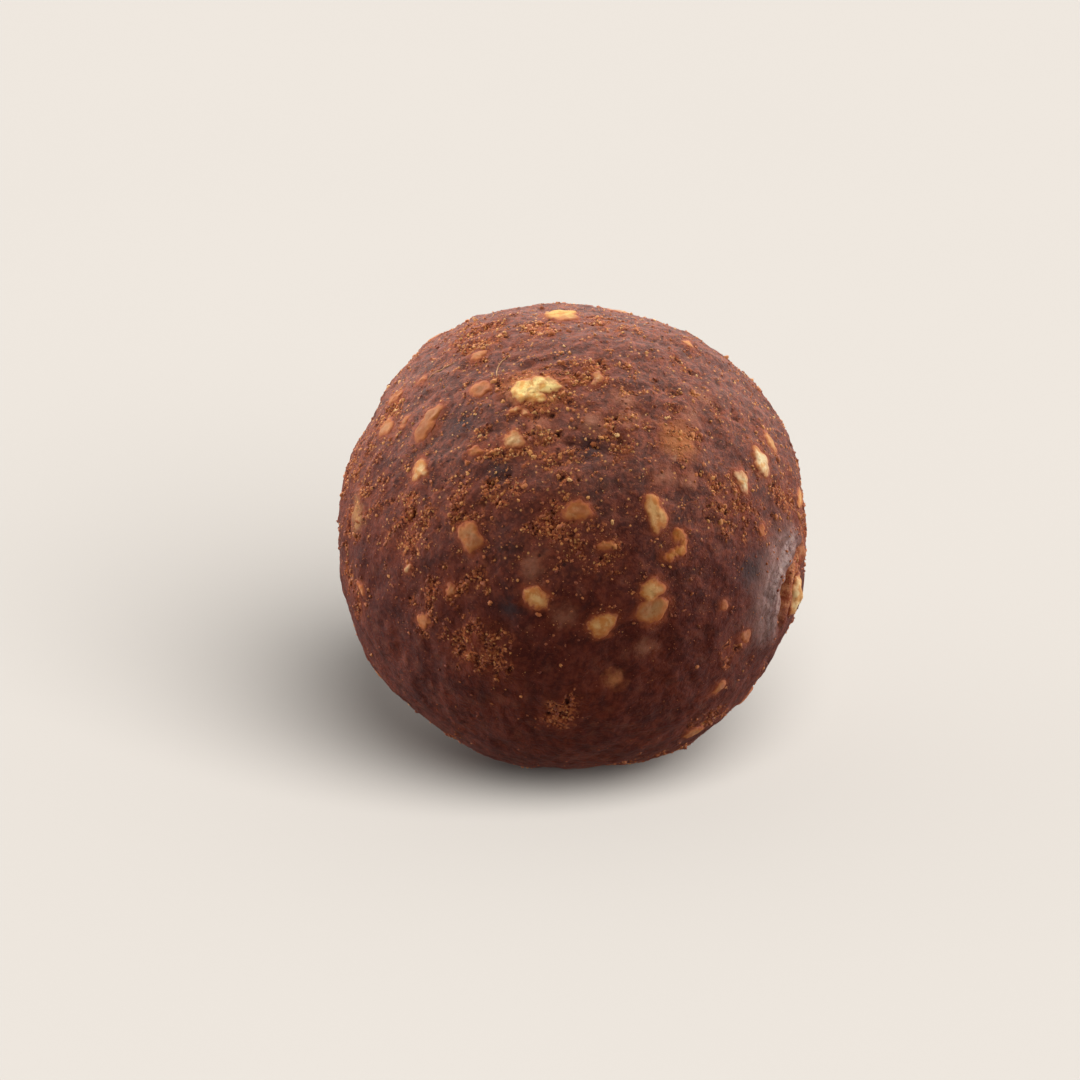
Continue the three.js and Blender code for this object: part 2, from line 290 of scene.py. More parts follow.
# Chips on the show side: across and up, length and width, turn from the level, how proud, how much of it
# the paste still covers, and its tint
CHIPS = [
    (-4.3, 13.1, 3.0, 2.6, 80, 0.40, 0.0, "yellow"),
    (-3.2, 13.8, 2.5, 2.1, 10, 0.40, 0.0, "yellow"),
    (-2.2, 13.6, 2.4, 2.1, 20, 0.40, 0.0, "yellow"),
    (-3.4, 12.7, 2.4, 1.8, 0, 0.40, 0.0, "yellow"),
    (9.8, 0.0, 1.6, 1.4, 20, 0.25, 0.10, "ochre"),
    (10.1, -0.95, 1.8, 1.1, 80, 0.25, 0.10, "ochre"),
    (9.25, -1.75, 1.5, 1.0, 15, 0.25, 0.15, "ochre"),
    (-0.5, 19.9, 2.6, 5.0, 0, 0.30, 0.10, "gold"),
    (9.9, 8.5, 3.4, 3.0, 40, 0.15, 0.75, "rust"),
    (7.3, -5.0, 2.9, 2.3, 75, 0.35, 0.10, "cream"),
    (6.8, -6.5, 3.0, 2.7, 20, 0.30, 0.20, "tan"),
    (2.8, -8.3, 2.9, 2.5, 50, 0.30, 0.10, "cream"),
    (-3.2, -5.6, 2.8, 2.3, -40, 0.30, 0.10, "cream"),
    (-9.2, 0.25, 3.3, 1.9, -45, 0.30, 0.25, "tan"),
    (17.0, 6.8, 3.7, 1.8, -68, 0.30, 0.0, "pale"),
    (17.8, 8.6, 3.0, 1.5, -60, 0.20, 0.15, "cream"),
    (15.6, 4.7, 2.5, 1.5, -58, 0.30, 0.0, "pale"),
    (-13.3, 10.4, 5.4, 1.4, 62, 0.25, 0.50, "tan"),
    (-13.6, 5.9, 2.4, 2.0, 70, 0.25, 0.10, "straw"),
    (-5.1, 8.7, 2.3, 1.9, -20, 0.25, 0.40, "straw"),
    (-8.1, 13.2, 2.4, 1.8, 10, 0.25, 0.60, "tan"),
    (0.5, 2.3, 3.0, 1.9, 10, 0.25, 0.35, "tan"),
    (9.6, 8.7, 2.4, 2.0, 60, 0.15, 0.71, "pale"),
    (-13.2, -7.7, 1.9, 1.6, 30, 0.20, 0.45, "rust"),
    (20.6, 3.8, 2.0, 1.6, 85, 0.25, 0.20, "cream"),
    (10.8, -17.9, 2.4, 2.0, 20, 0.20, 0.40, "tan"),
    (-16.9, 9.6, 2.4, 1.9, 75, 0.20, 0.35, "tan"),
    (-15.3, 10.1, 1.8, 0.9, 70, 0.20, 0.60, "tan"),
    (-8.8, 7.6, 1.3, 1.2, 0, 0.18, 0.70, "cream"),
    (-3.2, 9.8, 1.7, 1.2, 10, 0.18, 0.75, "pink"),
    (-5.2, 11.3, 1.2, 0.8, 15, 0.18, 0.25, "straw"),
    (-4.1, 11.0, 1.1, 0.8, -10, 0.18, 0.45, "straw"),
    (-13.4, 14.1, 1.2, 1.0, 40, 0.18, 0.30, "tan"),
    (-8.5, 16.3, 1.7, 1.2, 25, 0.18, 0.45, "tan"),
    (-16.0, 12.5, 2.2, 1.2, 60, 0.18, 0.50, "tan"),
    (-0.6, 14.1, 1.0, 0.9, 0, 0.15, 0.60, "pink"),
    (2.4, 14.3, 1.7, 1.1, 70, 0.18, 0.35, "pale"),
    (10.4, 17.4, 1.1, 1.2, 10, 0.18, 0.0, "cream"),
    (11.8, 12.3, 1.8, 1.2, -35, 0.15, 0.71, "pink"),
    (4.8, 12.3, 1.7, 1.4, 20, 0.15, 0.71, "pink"),
    (4.9, 10.8, 1.7, 1.4, -20, 0.15, 0.71, "pink"),
    (1.7, 10.4, 1.7, 1.5, 40, 0.15, 0.75, "pink"),
    (10.9, 10.7, 1.3, 1.4, 0, 0.15, 0.75, "pink"),
    (10.5, 5.0, 1.0, 0.9, 0, 0.15, 0.75, "pink"),
    (8.2, 5.3, 2.0, 1.1, 15, 0.15, 0.90, "pink"),
    (17.1, 0.4, 1.3, 1.0, 80, 0.15, 0.50, "tan"),
    (2.9, -0.8, 1.6, 0.8, 8, 0.18, 0.35, "tan"),
    (7.0, -10.1, 1.9, 1.0, 10, 0.12, 1.0, "pink"),
    (3.9, -13.1, 1.3, 1.2, -40, 0.12, 0.75, "rust"),
    (13.4, -13.7, 1.9, 1.2, 70, 0.15, 0.65, "tan"),
    (15.7, -9.1, 1.4, 1.2, 70, 0.15, 0.70, "pink"),
    (13.8, -6.5, 1.0, 0.9, 70, 0.12, 0.70, "pink"),
    (-3.6, -2.7, 1.7, 1.5, 60, 0.12, 0.95, "pink"),
    (-10.9, -5.0, 1.3, 1.3, 0, 0.15, 0.55, "tan"),
    (-14.8, -2.9, 1.0, 0.9, 0, 0.25, 0.0, "pale"),
    (-19.4, 1.3, 3.0, 1.8, 85, 0.15, 0.75, "cream"),
    (-0.7, -7.4, 1.8, 1.5, 20, 0.12, 1.1, "pink"),
]
# More chips on the show side, each with the turn of its dent from the level, and the dent's share of the chip
DENTED_CHIPS = [
    ((7.4, 2.2, 4.4, 2.1, 100, 0.30, 0.15, "cream"), (40, 0.4)),
    ((-19.0, -4.9, 1.6, 0.8, -60, 0.25, 0.25, "rust"), (40, 0.1)),
    ((-3.2, 13.2, 5.8, 3.8, 5, 0.20, 0.72, "rust"), (0, 0.0)),
]

# The lump of nut behind the fold: its spot, its half sizes along the fold, across it and outwards, its turn,
# how far its middle lies under the solid's surface, and how lumpy it is
FOLD_NUT = dict(spot=(20.1, -5.6), half=(2.3, 1.2, 1.1), turn=78, sunk=0.6, lumpy=0.2, tint="straw")
FOLD_NUT_SPLITS = 12
FOLD_NUT_RIM = (0.2, 1.4)  # how far outside its rim the skin is, and how much less so each millimetre up

# Dark blue-grey patches on the show side: across, up and reach. The one at (-6.6, 5.8) is painted shade in a
# hollow
GREY_PATCHES = [(-9.8, 10.2, 1.7), (1.6, 8.0, 1.5), (-6.6, 5.8, 1.6), (-5.6, -6.7, 1.0), (16.3, -3.2, 1.6)]

# A chip's outline is what a few straight cuts leave, with rounded corners, waves and a dent
CHIP_SIDES = (5, 9)
CUT_JITTER = 0.35
CUT_DEPTH = (0.78, 1.0)
DENT_DEPTH = (0.0, 0.25)
DENT_WIDTH = 0.6
CORNER_SHARPNESS = 8
CHIP_LEAN = (0.05, 0.3)  # how steeply it dips into the paste, to some side
WAVES = np.array([3, 5, 8])  # how often each wave goes round
WAVE_HEIGHTS = np.array([0.05, 0.03, 0.02])
OUTLINE_STRAY = 0.18  # how far its outline strays from that
VEIL_LEAN = 0.45  # how much more paste lies on the side that dips
CHIP_NEAR = 1.2  # how far from a chip's middle the paste feels it, in its lengths
CHIP_SMOOTHING = 0.85  # how much of the paste's relief a chip takes away, between these distances outside it
CHIP_SMOOTHED = (0.5, -0.1)
CHIP_BULGE = 0.5  # share of a chip's standing proud by which the paste rises round it, between these
CHIP_BULGED = (0.6, -0.6)
CHIP_BED = 0.1  # how deep the paste lies under a chip
CHIP_LIFT = (0.03, 0.15)  # a chip's middle over the paste: a least height, and a share of its standing proud
CHIP_SLOPE = (0.12, -0.35)  # where its rise starts and ends, from its outline
CHIP_SINK = 0.16  # how far its rim lies under the paste, and where it starts to sink
CHIP_SINK_FROM = -0.05
CHIP_MARGIN = 0.4  # how far its rim runs past its outline
CHIP_DEPTH = 1.0
CHIP_ROUGHNESS = 0.07
CHIP_FACE_SHIFT = 3  # how far apart chips lie in the noise of their faces
CHIP_SHADES = (0.9, 1.1)  # how much darker or lighter than its tint it is
CHIP_RINGS = 14
CHIP_SPOKES = 36
MOST_COVER = 0.7  # a chip with more paste on it only shows through
GHOST_SOFTNESS = 0.5  # how sharply that chip's outline shows

# Chips out of sight, drawn as the solid draws its own, and smaller ones between them
SOLID_SEED = 29
SOLID_LUMP_DRAWS = 840  # draws that the solid makes before it comes to its chips
SOLID_RADIUS = 21.6
UNSEEN_CHIPS = 34
CHIP_LENGTH = (1.8, 4.0)
CHIP_SLIMNESS = (0.55, 0.9)
CHIP_PROUD = (0.15, 0.4)
CHIP_GAP = 4.5
CHIP_LOWEST = -0.8
SMALL_UNSEEN_CHIPS = 70
SMALL_CHIP_LENGTH = (0.9, 1.9)
UNSEEN_COVER = (0.1, 0.9)
UNSEEN_TINTS = ["cream", "cream", "cream", "tan", "tan", "ochre", "pink", "pale", "yellow"]
GHOST_TINTS = ["pink", "tan", "rust"]

# Places on the show side where the skin is open and crumbly: across, up, reach and strength
CRUMBLE = [
    (-13.5, 17.0, 4.0, 0.8),
    (-8.5, 18.2, 4.0, 0.9),
    (-3.0, 19.0, 3.0, 0.8),
    (3.0, 19.0, 3.0, 0.6),
    (-3.4, 13.2, 3.2, 1.2),
    (-8.0, 9.0, 2.5, 0.7),
    (-5.0, 8.0, 3.0, 0.9),
    (-1.5, 7.5, 3.0, 0.9),
    (1.5, 15.0, 3.5, 0.7),
    (4.0, 9.5, 2.8, 0.8),
    (-6.3, 4.5, 2.6, 0.9),
    (-10.4, 3.0, 2.2, 0.7),
    (-15.0, 0.2, 3.3, 0.95),
    (-0.5, 0.7, 3.0, 0.9),
    (3.2, -1.8, 2.0, 0.7),
    (15.0, 3.2, 4.0, 0.55),
    (-9.7, -4.0, 3.2, 0.6),
    (-12.8, -6.8, 3.0, 0.6),
    (-9.2, -9.8, 3.0, 0.9),
    (-7.0, -12.0, 2.0, 0.7),
    (-0.9, -16.3, 2.3, 1.0),
    (19.3, 4.0, 3.5, 0.7),
    (-18.6, 3.5, 3.5, 0.8),
    (-17.5, 10.0, 3.0, 0.6),
    (9.8, 10.5, 4.5, 0.5),
    (10.4, 16.0, 2.0, 0.6),
    (20.9, 6.5, 2.0, 0.8),
    (20.9, 1.5, 2.0, 0.9),
    (-20.2, 6.5, 2.5, 0.8),
    (-20.4, 0.5, 2.5, 0.8),
    (-19.8, -5.0, 2.5, 0.7),
    (20.6, -2.6, 1.4, 0.9),
    (20.4, -5.5, 1.8, 0.9),
    (19.9, -8.0, 1.4, 0.9),
    (17.6, -11.6, 1.6, 0.6),
    (15.6, -14.4, 1.8, 0.7),
    (12.4, -16.8, 2.0, 0.7),
    (14.2, -10.6, 2.2, 0.4),
]
UNSEEN_CRUMBLE = 44
UNSEEN_CRUMBLE_REACH = (2.0, 4.5)
UNSEEN_CRUMBLE_STRENGTH = (0.5, 0.95)
UNSEEN_FACING = 0.1  # what faces the viewer less than this is out of sight
TORN_BY_PLACE = 0.6  # how far the crumbly places' outlines stray
TORN_BY_STREAK = 0.45
CRUMBLE_RISE = (0.4, 0.85)
CRUMBLE_EDGE = (0.05, 0.3)

# Loose grains: how many, how large, the detail of their lump, how many lie outside the crumbly places,
# how many lie in clumps, and how far the middle lies below the skin as a share of the size
GRAIN_KINDS = {
    "coarse_crumbs": dict(count=1500, size=(0.3, 0.65), detail=2, loose=0.05, clumped=0.9, sunk=0.2, seed=71),
    "crumbs": dict(count=8500, size=(0.16, 0.42), detail=1, loose=0.12, clumped=0.96, sunk=0.1, seed=72),
    "fine_crumbs": dict(count=16000, size=(0.09, 0.2), detail=0, loose=0.3, clumped=0.85, sunk=0.0, seed=73),
}
CLUMP_RISE = (0.4, 0.05)
GRAIN_SMALLNESS = 0.6  # below 1, small grains are more than large ones
GRAIN_SQUASH = (0.5, 1.3)
GRAIN_JITTER = (0.6, 1.3)
GRAIN_TONES = (1.6, 3.0)  # more dark grains than light ones
MOIST_TONE = 0.6
GRAIN_LOWEST = 0.8  # no grain lies closer to the floor than this
GRAIN_CLEAR = (0.0, 0.35)  # and few closer to a chip than this
GATHERED = 2.5  # how many more grains lie round a chip, and how far from its edge
GATHERED_AT = 0.45
GATHERED_REACH = 0.3

# Pale fibres: two on the show side, from and to, and others anywhere
FIBRES = [((-5.5, 16.4), (-6.7, 14.1)), ((-13.0, 13.9), (-10.7, 15.7))]
OTHER_FIBRES = 18
FIBRE_LENGTH = (0.4, 1.0)
FIBRE_WIDTH = (0.1, 0.18)
FIBRE_BEND = 0.25
FIBRE_LIFT = 0.2  # of its width
FIBRE_TAPER = 0.8
FIBRE_FACING = 0.3  # the others face the viewer less than this
FIBRE_STEPS = 10
FIBRE_SIDES = 5

# The light: a soft lamp over the ball, one for the floor, and a room that is bright behind and dark in front
LAMP_BACK = 28
LAMP_LEFT = 4
LAMP_SOFTNESS = 75
LAMP_STRENGTH = 2.63
FLOOR_LAMP_BACK = -38
FLOOR_LAMP_LEFT = -25
FLOOR_LAMP_SOFTNESS = 54
FLOOR_LAMP_STRENGTH = 13.4
ROOM_BEHIND = 1.8
ROOM_LEFT = 2.55
ROOM_RIGHT = 2.75
ROOM_SIDE_FOCUS = 3.0  # how much the side light keeps to the sides
ROOM_SIDES_BELOW = 0.74
ROOM_LEAST = 0.03
FLOOR_GLOW = 0.03
FLOOR_COLOUR = (128, 124, 119)
FLOOR_MOTTLE = 0.99  # its darker places, as a share of that
FLOOR_HALF = 4.0  # half its side, in metres
BACKDROP = (239, 231, 223)


def unit(vectors):
    """The vectors at length one."""
    vectors = np.asarray(vectors, float)
    return vectors / np.linalg.norm(vectors, axis=-1, keepdims=True)


def step(low, high, values):
    """From 0 at low to 1 at high, smoothly."""
    share = np.clip((values - low) / (high - low), 0, 1)
    return share * share * (3 - 2 * share)


def bell(values, middle, width):
    """1 at the middle, falling off to both sides."""
    return np.exp(-(((values - middle) / width) ** 2))


def linear(colour):
    """A screen colour from 0 to 255 as light."""
    share = np.asarray(colour, float) / 255
    return np.where(share <= 0.04045, share / 12.92, ((share + 0.055) / 1.055) ** 2.4)


def solid_surface():
    """The solid's surface round the ball's centre."""
    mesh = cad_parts[NODE].data
    corners = [v.co / MM - Vector(CENTRE) for v in mesh.vertices]
    return BVHTree.FromPolygons(corners, [p.vertices for p in mesh.polygons])


SOLID = solid_surface()


def seen_direction(across, up):
    """The direction of the spot that is seen there, or of the one on the outline that is nearest to it."""
    spot = across * VIEW_RIGHT + up * VIEW_UP
    hit = SOLID.ray_cast(Vector(EYE), Vector(spot - EYE))[0] or SOLID.find_nearest(Vector(spot))[0]
    return unit(hit)


def noise_at(points, name):
    """One of the noises, smooth and mostly from -1 to 1."""
    size, seed, octaves = NOISES[name]
    shift = Vector([seed * part for part in NOISE_SHIFT])
    heights = [noise.fractal(Vector(p) / size + shift, 1.0, 2.0, octaves) for p in points]
    return np.array(heights) * NOISE_GAIN


def ball_grid(splits):
    """Directions, triangles and edges of an icosahedron with its edges split, blown up into a ball."""
    grid = bmesh.new()
    bmesh.ops.create_icosphere(grid, subdivisions=1, radius=1)
    if splits > 1:
        bmesh.ops.subdivide_edges(grid, edges=grid.edges[:], cuts=splits - 1, use_grid_fill=True)
        bmesh.ops.triangulate(grid, faces=grid.faces[:])
        bmesh.ops.recalc_face_normals(grid, faces=grid.faces[:])
    directions = unit([v.co for v in grid.verts])
    triangles = np.array([[v.index for v in f.verts] for f in grid.faces])
    edges = np.array([[v.index for v in e.verts] for e in grid.edges])
    grid.free()
    return directions, triangles, edges


def eight_sided():
    """Directions and triangles of the smallest grains."""
    directions = np.array([(1, 0, 0), (0, 1, 0), (-1, 0, 0), (0, -1, 0), (0, 0, 1), (0, 0, -1)], float)
    upper = [(i, (i + 1) % 4, 4) for i in range(4)]
    lower = [((i + 1) % 4, i, 5) for i in range(4)]
    return directions, np.array(upper + lower)


def smoothed(values, edges, rounds):
    """The values, with each vertex moved to the mean of its neighbours in each round."""
    count = len(values)
    first, second = edges.T
    neighbours = np.bincount(first, minlength=count) + np.bincount(second, minlength=count)
    for _ in range(rounds):
        sums = np.bincount(first, values[second], count) + np.bincount(second, values[first], count)
        values = sums / neighbours
    return values


def radius_in(tree, directions):
    """How far a surface is from the ball's centre, in each direction."""
    hits = [tree.ray_cast(Vector(2 * RADIUS * d), Vector(-d))[0] for d in directions]
    for index in [i for i, hit in enumerate(hits) if hit is None]:
        hits[index] = tree.find_nearest(Vector(RADIUS * directions[index]))[0]
    return np.array([hit.length for hit in hits])


@dataclass
class Chip:
    """A nut chip pressed into the skin: its axes, the cuts of its outline and how it shows."""

    out: np.ndarray
    along: np.ndarray
    side: np.ndarray
    length: float
    proud: float
    cover: float
    tint: str
    cuts: np.ndarray
    waves: np.ndarray
    lean: np.ndarray
    dent: tuple

    def reach(self, flat):
        """How far the outline is from the middle, in the direction of each flat place."""
        facing = np.maximum(0, unit(flat + TINY) @ self.cuts.T)
        whole = (facing**CORNER_SHARPNESS).sum(1) ** (-1 / CORNER_SHARPNESS)
        angle = np.arctan2(flat[:, 1], flat[:, 0])
        turn, depth = self.dent
        away = np.angle(np.exp(1j * (angle - turn)))
        wavy = 1 + np.sin(angle[:, None] * WAVES + self.waves) @ WAVE_HEIGHTS
        return whole * wavy * (1 - depth * bell(away, 0, DENT_WIDTH))

    def touches(self, other):
        """Whether the other chip is so close that the two may overlap."""
        apart = np.linalg.norm(self.out - other.out) * RADIUS
        return 0 < apart < (self.length + other.length) / 2

    def edge(self, spots):
        """How far outside the outline each spot is, below zero inside, and more where the chip dips."""
        offset = spots - self.out * RADIUS
        flat = np.column_stack([offset @ self.along, offset @ self.side])
        strayed = OUTLINE_STRAY * noise_at(spots, "chip outline")
        return np.linalg.norm(flat, axis=1) - self.reach(flat) + flat @ self.lean + strayed


def axes_at(out, turn):
    """Two directions on the skin there: one at the turn from the level, and one across it."""
    level = unit(np.cross(VIEW_UP, out))
    angle = math.radians(turn)
    along = level * math.cos(angle) + np.cross(out, level) * math.sin(angle)
    return along, np.cross(out, along)


def chip_at(out, length, width, turn, proud, cover, tint, random, dent=None):
    """A chip whose length lies at the turn from the level, chopped by a few straight cuts."""
    along, side = axes_at(out, turn)
    sides = random.integers(*CHIP_SIDES)
    places = np.arange(sides) + random.uniform(-CUT_JITTER, CUT_JITTER, sides) + random.uniform()
    angles = places * 2 * math.pi / sides
    facing = np.column_stack([np.cos(angles), np.sin(angles)])
    distance = np.linalg.norm(facing * (length / 2, width / 2), axis=1) * random.uniform(*CUT_DEPTH, sides)
    cuts = facing / distance[:, None]
    waves = random.uniform(0, 2 * math.pi, len(WAVES))
    dip = random.uniform(-math.pi, math.pi)
    lean = random.uniform(*CHIP_LEAN) * np.array([math.cos(dip), math.sin(dip)])
    drawn = (random.uniform(-math.pi, math.pi), random.uniform(*DENT_DEPTH))
    if dent:
        drawn = (math.radians(dent[0] - turn), dent[1])
    return Chip(out, along, side, length, proud, cover, tint, cuts, waves, lean, drawn)


def seen_chips(random):
    """The chips on the show side."""
    chips = [chip_at(seen_direction(*row[:2]), *row[2:], random) for row in CHIPS]
    for row, dent in DENTED_CHIPS:
        chips.append(chip_at(seen_direction(*row[:2]), *row[2:], random, dent))
    return chips


def solid_draws(seed):
    """The solid's own seeded draws, from 0 to 1."""
    whole = 0xFFFFFFFF
    state = seed
    while True:
        state = (state + 0x6D2B79F5) & whole
        mixed = ((state ^ (state >> 15)) * (state | 1)) & whole
        mixed ^= (mixed + ((mixed ^ (mixed >> 7)) * (mixed | 61) & whole)) & whole
        yield (mixed ^ (mixed >> 14)) / 2**32


def drawn_between(draws, low, high):
    """The next draw, from low to high."""
    return low + (high - low) * next(draws)


def drawn_direction_behind(draws):
    """A drawn direction out of the viewer's sight."""
    height = drawn_between(draws, -1, 1)
    turn = drawn_between(draws, 0, 2 * math.pi)
    level = math.sqrt(1 - height**2)
    direction = np.array([level * math.cos(turn), level * math.sin(turn), height])
    facing = max(0.0, direction @ TOWARDS_VIEWER)
    return direction - 2 * facing * TOWARDS_VIEWER


def drawn_tint(random, cover):
    """A tint for a chip out of sight: a dull one if it only shows through."""
    return random.choice(GHOST_TINTS if cover > MOST_COVER else UNSEEN_TINTS)


def unseen_chips(random):
    """The solid's chips out of sight, and smaller ones that it leaves out."""
    draws = solid_draws(SOLID_SEED)
    for _ in range(SOLID_LUMP_DRAWS):
        next(draws)
    chips = []
    while len(chips) < UNSEEN_CHIPS:
        direction = drawn_direction_behind(draws)
        clear = all(np.linalg.norm(chip.out - direction) * SOLID_RADIUS > CHIP_GAP for chip in chips)
        if not clear or direction[2] < CHIP_LOWEST:
            continue
        length = drawn_between(draws, *CHIP_LENGTH)
        width = length * drawn_between(draws, *CHIP_SLIMNESS)
        turn = drawn_between(draws, 0, 180)
        proud = drawn_between(draws, *CHIP_PROUD)
        cover = random.uniform(*UNSEEN_COVER)
        chips.append(chip_at(direction, length, width, turn, proud, cover, drawn_tint(random, cover), random))
    while len(chips) < UNSEEN_CHIPS + SMALL_UNSEEN_CHIPS:
        direction = drawn_direction_behind(draws)
        if direction[2] < CHIP_LOWEST:
            continue
        length = random.uniform(*SMALL_CHIP_LENGTH)
        width = length * random.uniform(*CHIP_SLIMNESS)
        turn = random.uniform(0, 180)
        cover = random.uniform(*UNSEEN_COVER)
        proud = CHIP_PROUD[0]
        chips.append(chip_at(direction, length, width, turn, proud, cover, drawn_tint(random, cover), random))
    return chips


class Skin:
    """The paste's surface: where it is, and what shows on it, for each vertex of the ball's grid."""

    BASE_ROUNDS = 30
    GLOW_ROUNDS = 14
    HOLLOW_ROUNDS = 6

    def __init__(self, chips, random):
        self.directions, self.triangles, self.edges = ball_grid(SKIN_SPLITS)
        self.spots = self.directions * RADIUS
        self.base = smoothed(radius_in(SOLID, self.directions), self.edges, self.BASE_ROUNDS)
        self.streaks = self.streak_places()
        rise = self.spots[:, 2] + DRY_STRAY * noise_at(self.spots, "dry edge")
        self.dry_and_sheen = step(*DRY_RISE, rise)
        self.dusty = LEAST_DUSTY + (1 - LEAST_DUSTY) * step(*DUSTY_RISE, rise)
        self.crumble = self.crumble_share(random)
        self.glow = smoothed(self.crumble, self.edges, self.GLOW_ROUNDS)
        self.relief = self.fine_relief()
        self.press_chips(chips)
        self.relief += self.fold_relief() - self.creases()
        self.grey_patch = self.grey_patch_share()
        self.clump = step(*CLUMP_RISE, np.abs(noise_at(self.spots, "clumps")))
        self.points = self.directions * (self.base + self.relief)[:, None]
        self.points[:, 2] = np.maximum(self.points[:, 2], -CENTRE[2])
        self.normals = self.vertex_normals()

    def streak_places(self):
        """Coordinates that run fast across the rolling streaks and slowly along them."""
        pole = seen_direction(*ROLL_POLE)
        level = unit(np.cross(pole, VIEW_RIGHT))
        third = np.cross(pole, level)
        rise = np.clip(self.directions @ pole, -1, 1)
        across = np.arccos(rise) * RADIUS / STREAK_WIDTH
        round_it = unit(np.stack([self.directions @ level, self.directions @ third], axis=1) + TINY)
        reach = np.sqrt(1 - rise**2) * RADIUS / STREAK_LENGTH
        return np.column_stack([across, round_it * reach[:, None]])

    def crumble_share(self, random):
        """How open and crumbly the skin is, from 0 to 1."""
        patches = [(seen_direction(across, up), reach, strength) for across, up, reach, strength in CRUMBLE]
        while len(patches) < len(CRUMBLE) + UNSEEN_CRUMBLE:
            direction = unit(random.normal(size=3))
            if direction @ TOWARDS_VIEWER < UNSEEN_FACING:
                reach = random.uniform(*UNSEEN_CRUMBLE_REACH)
                patches.append((direction, reach, random.uniform(*UNSEEN_CRUMBLE_STRENGTH)))
        share = np.zeros(len(self.spots))
        for direction, reach, strength in patches:
            distance = np.linalg.norm(self.spots - direction * RADIUS, axis=1)
            share = np.maximum(share, strength * bell(distance, 0, reach))
        torn = TORN_BY_PLACE * noise_at(self.spots, "torn places")
        torn += TORN_BY_STREAK * noise_at(self.streaks, "torn streaks")
        return step(*CRUMBLE_RISE, share + torn) * step(*CRUMBLE_EDGE, share)

    def fine_relief(self):
        """Lumps, grain, streaks, torn places and pits, as heights."""
        lumps = LUMP_HEIGHT * noise_at(self.spots, "lumps")
        grainy = MOIST_GRAIN + (1 - MOIST_GRAIN) * self.dry_and_sheen
        grain = GRAIN_HEIGHT * grainy * noise_at(self.spots, "grain")
        bent = self.streaks + STREAK_BEND * noise_at(self.spots, "bends")[:, None]
        streaks = STREAK_HEIGHT * noise_at(bent, "streaks")
        wrinkles = WRINKLE_HEIGHT * self.dry_and_sheen * (WRINKLE_LEVEL - np.abs(noise_at(bent, "wrinkles")))
        torn = TORN_HEIGHT * self.crumble * (noise_at(self.spots, "tears") - TORN_LEVEL)
        pitted = LEAST_PITTED + (1 - LEAST_PITTED) * self.crumble
        pits = PIT_DEPTH * pitted * step(*PIT_RISE, noise_at(self.spots, "pits"))
        creased = self.dry_and_sheen * step(*CREASED_RISE, noise_at(self.spots, "creased places"))
        faint = step(FAINT_CREASE_WIDTH, 0.0, np.abs(noise_at(bent, "faint creases")))
        return lumps + grain + streaks + wrinkles + torn - pits - FAINT_CREASE_DEPTH * creased * faint

    def beside(self, places):
        """How far behind a line on the show side each vertex lies, and its share along that line."""
        turns = np.array([seen_direction(*place) for place in places]) * RADIUS
        behind = np.full(len(self.spots), np.inf)
        along = np.zeros(len(self.spots))
        for number, (start, end) in enumerate(zip(turns[:-1], turns[1:])):
            line = end - start
            share = np.clip((self.spots - start) @ line / (line @ line), 0, 1)
            offset = self.spots - start - share[:, None] * line
            distance = np.linalg.norm(offset, axis=1)
            nearer = distance < np.abs(behind)
            behind[nearer] = np.copysign(distance, offset @ np.cross(start, line))[nearer]
            along[nearer] = (number + share[nearer]) / (len(turns) - 1)
        return behind, along

    def creases(self):
        """Short grooves on the show side, as depths."""
        depth = np.zeros(len(self.spots))
        strayed = CREASE_WIDTH * noise_at(self.spots, "crease line")
        for places in CREASES:
            behind, along = self.beside(places)
            ends = step(0, CREASE_TAPER, along) * step(1, 1 - CREASE_TAPER, along)
            across = bell(np.abs(behind) + strayed, 0, CREASE_WIDTH)
            depth = np.maximum(depth, CREASE_DEPTH * ends * across)
        return depth

    def fold_relief(self):
        """The fold at the right: a raised lip, a gap behind it and the layer that it lies on."""
        behind, along = self.beside(FOLD)
        place = behind + FOLD_STRAY * noise_at(self.spots, "fold line")
        lip, gap, back = (height * bell(place, *at) for height, *at in (FOLD_LIP, FOLD_GAP, FOLD_BACK))
        uneven = 1 + FOLD_UNEVENNESS * noise_at(self.spots, "fold lumps")
        foot = step(*FOLD_FOOT, along)
        ends = step(*FOLD_TOP, along) * foot
        shiny = step(*SHEEN_TOP, along) * ends
        # Where the haze lies, a dusty tint that is partly painted sheen, and the painted highlight on the lip
        self.haze_and_sheen = shiny * bell(place, *HAZE_AT)
        self.lip = shiny * bell(place, *SHEEN_AT)
        self.inner = step(*INNER_TOP, along) * foot * bell(place, *INNER_AT)
        lengthwise = along * FOLD_LENGTH / SHEEN_LENGTH
        self.sheen = np.column_stack([behind / SHEEN_WIDTH, lengthwise, np.zeros(len(along))])
        return ((lip + back) * uneven + gap * step(*GAP_TOP, along)) * ends

    def press_chips(self, chips):
        """Smooths the paste at each chip and lifts it there, and notes how the chip shows through."""
        count = len(self.spots)
        self.chip = np.full(count, 1.0)
        self.veil = np.ones(count)
        self.under = np.tile(linear(NUT_TINTS["pink"]), (count, 1))
        for chip in chips:
            near = np.flatnonzero(self.directions @ chip.out > math.cos(CHIP_NEAR * chip.length / RADIUS))
            edge = chip.edge(self.spots[near])
            self.relief[near] *= 1 - CHIP_SMOOTHING * step(*CHIP_SMOOTHED, edge)
            self.relief[near] += CHIP_BULGE * chip.proud * step(*CHIP_BULGED, edge)
            if chip.cover > MOST_COVER:
                edge = GHOST_SOFTNESS * edge
            else:
                self.relief[near] -= CHIP_BED * step(*CHIP_SLOPE, edge)
            closer = edge < self.chip[near]
            self.under[near[closer]] = linear(NUT_TINTS[chip.tint] if chip.cover > MOST_COVER else STAIN)
            self.veil[near[closer]] = chip.cover
            self.chip[near] = np.minimum(self.chip[near], edge)

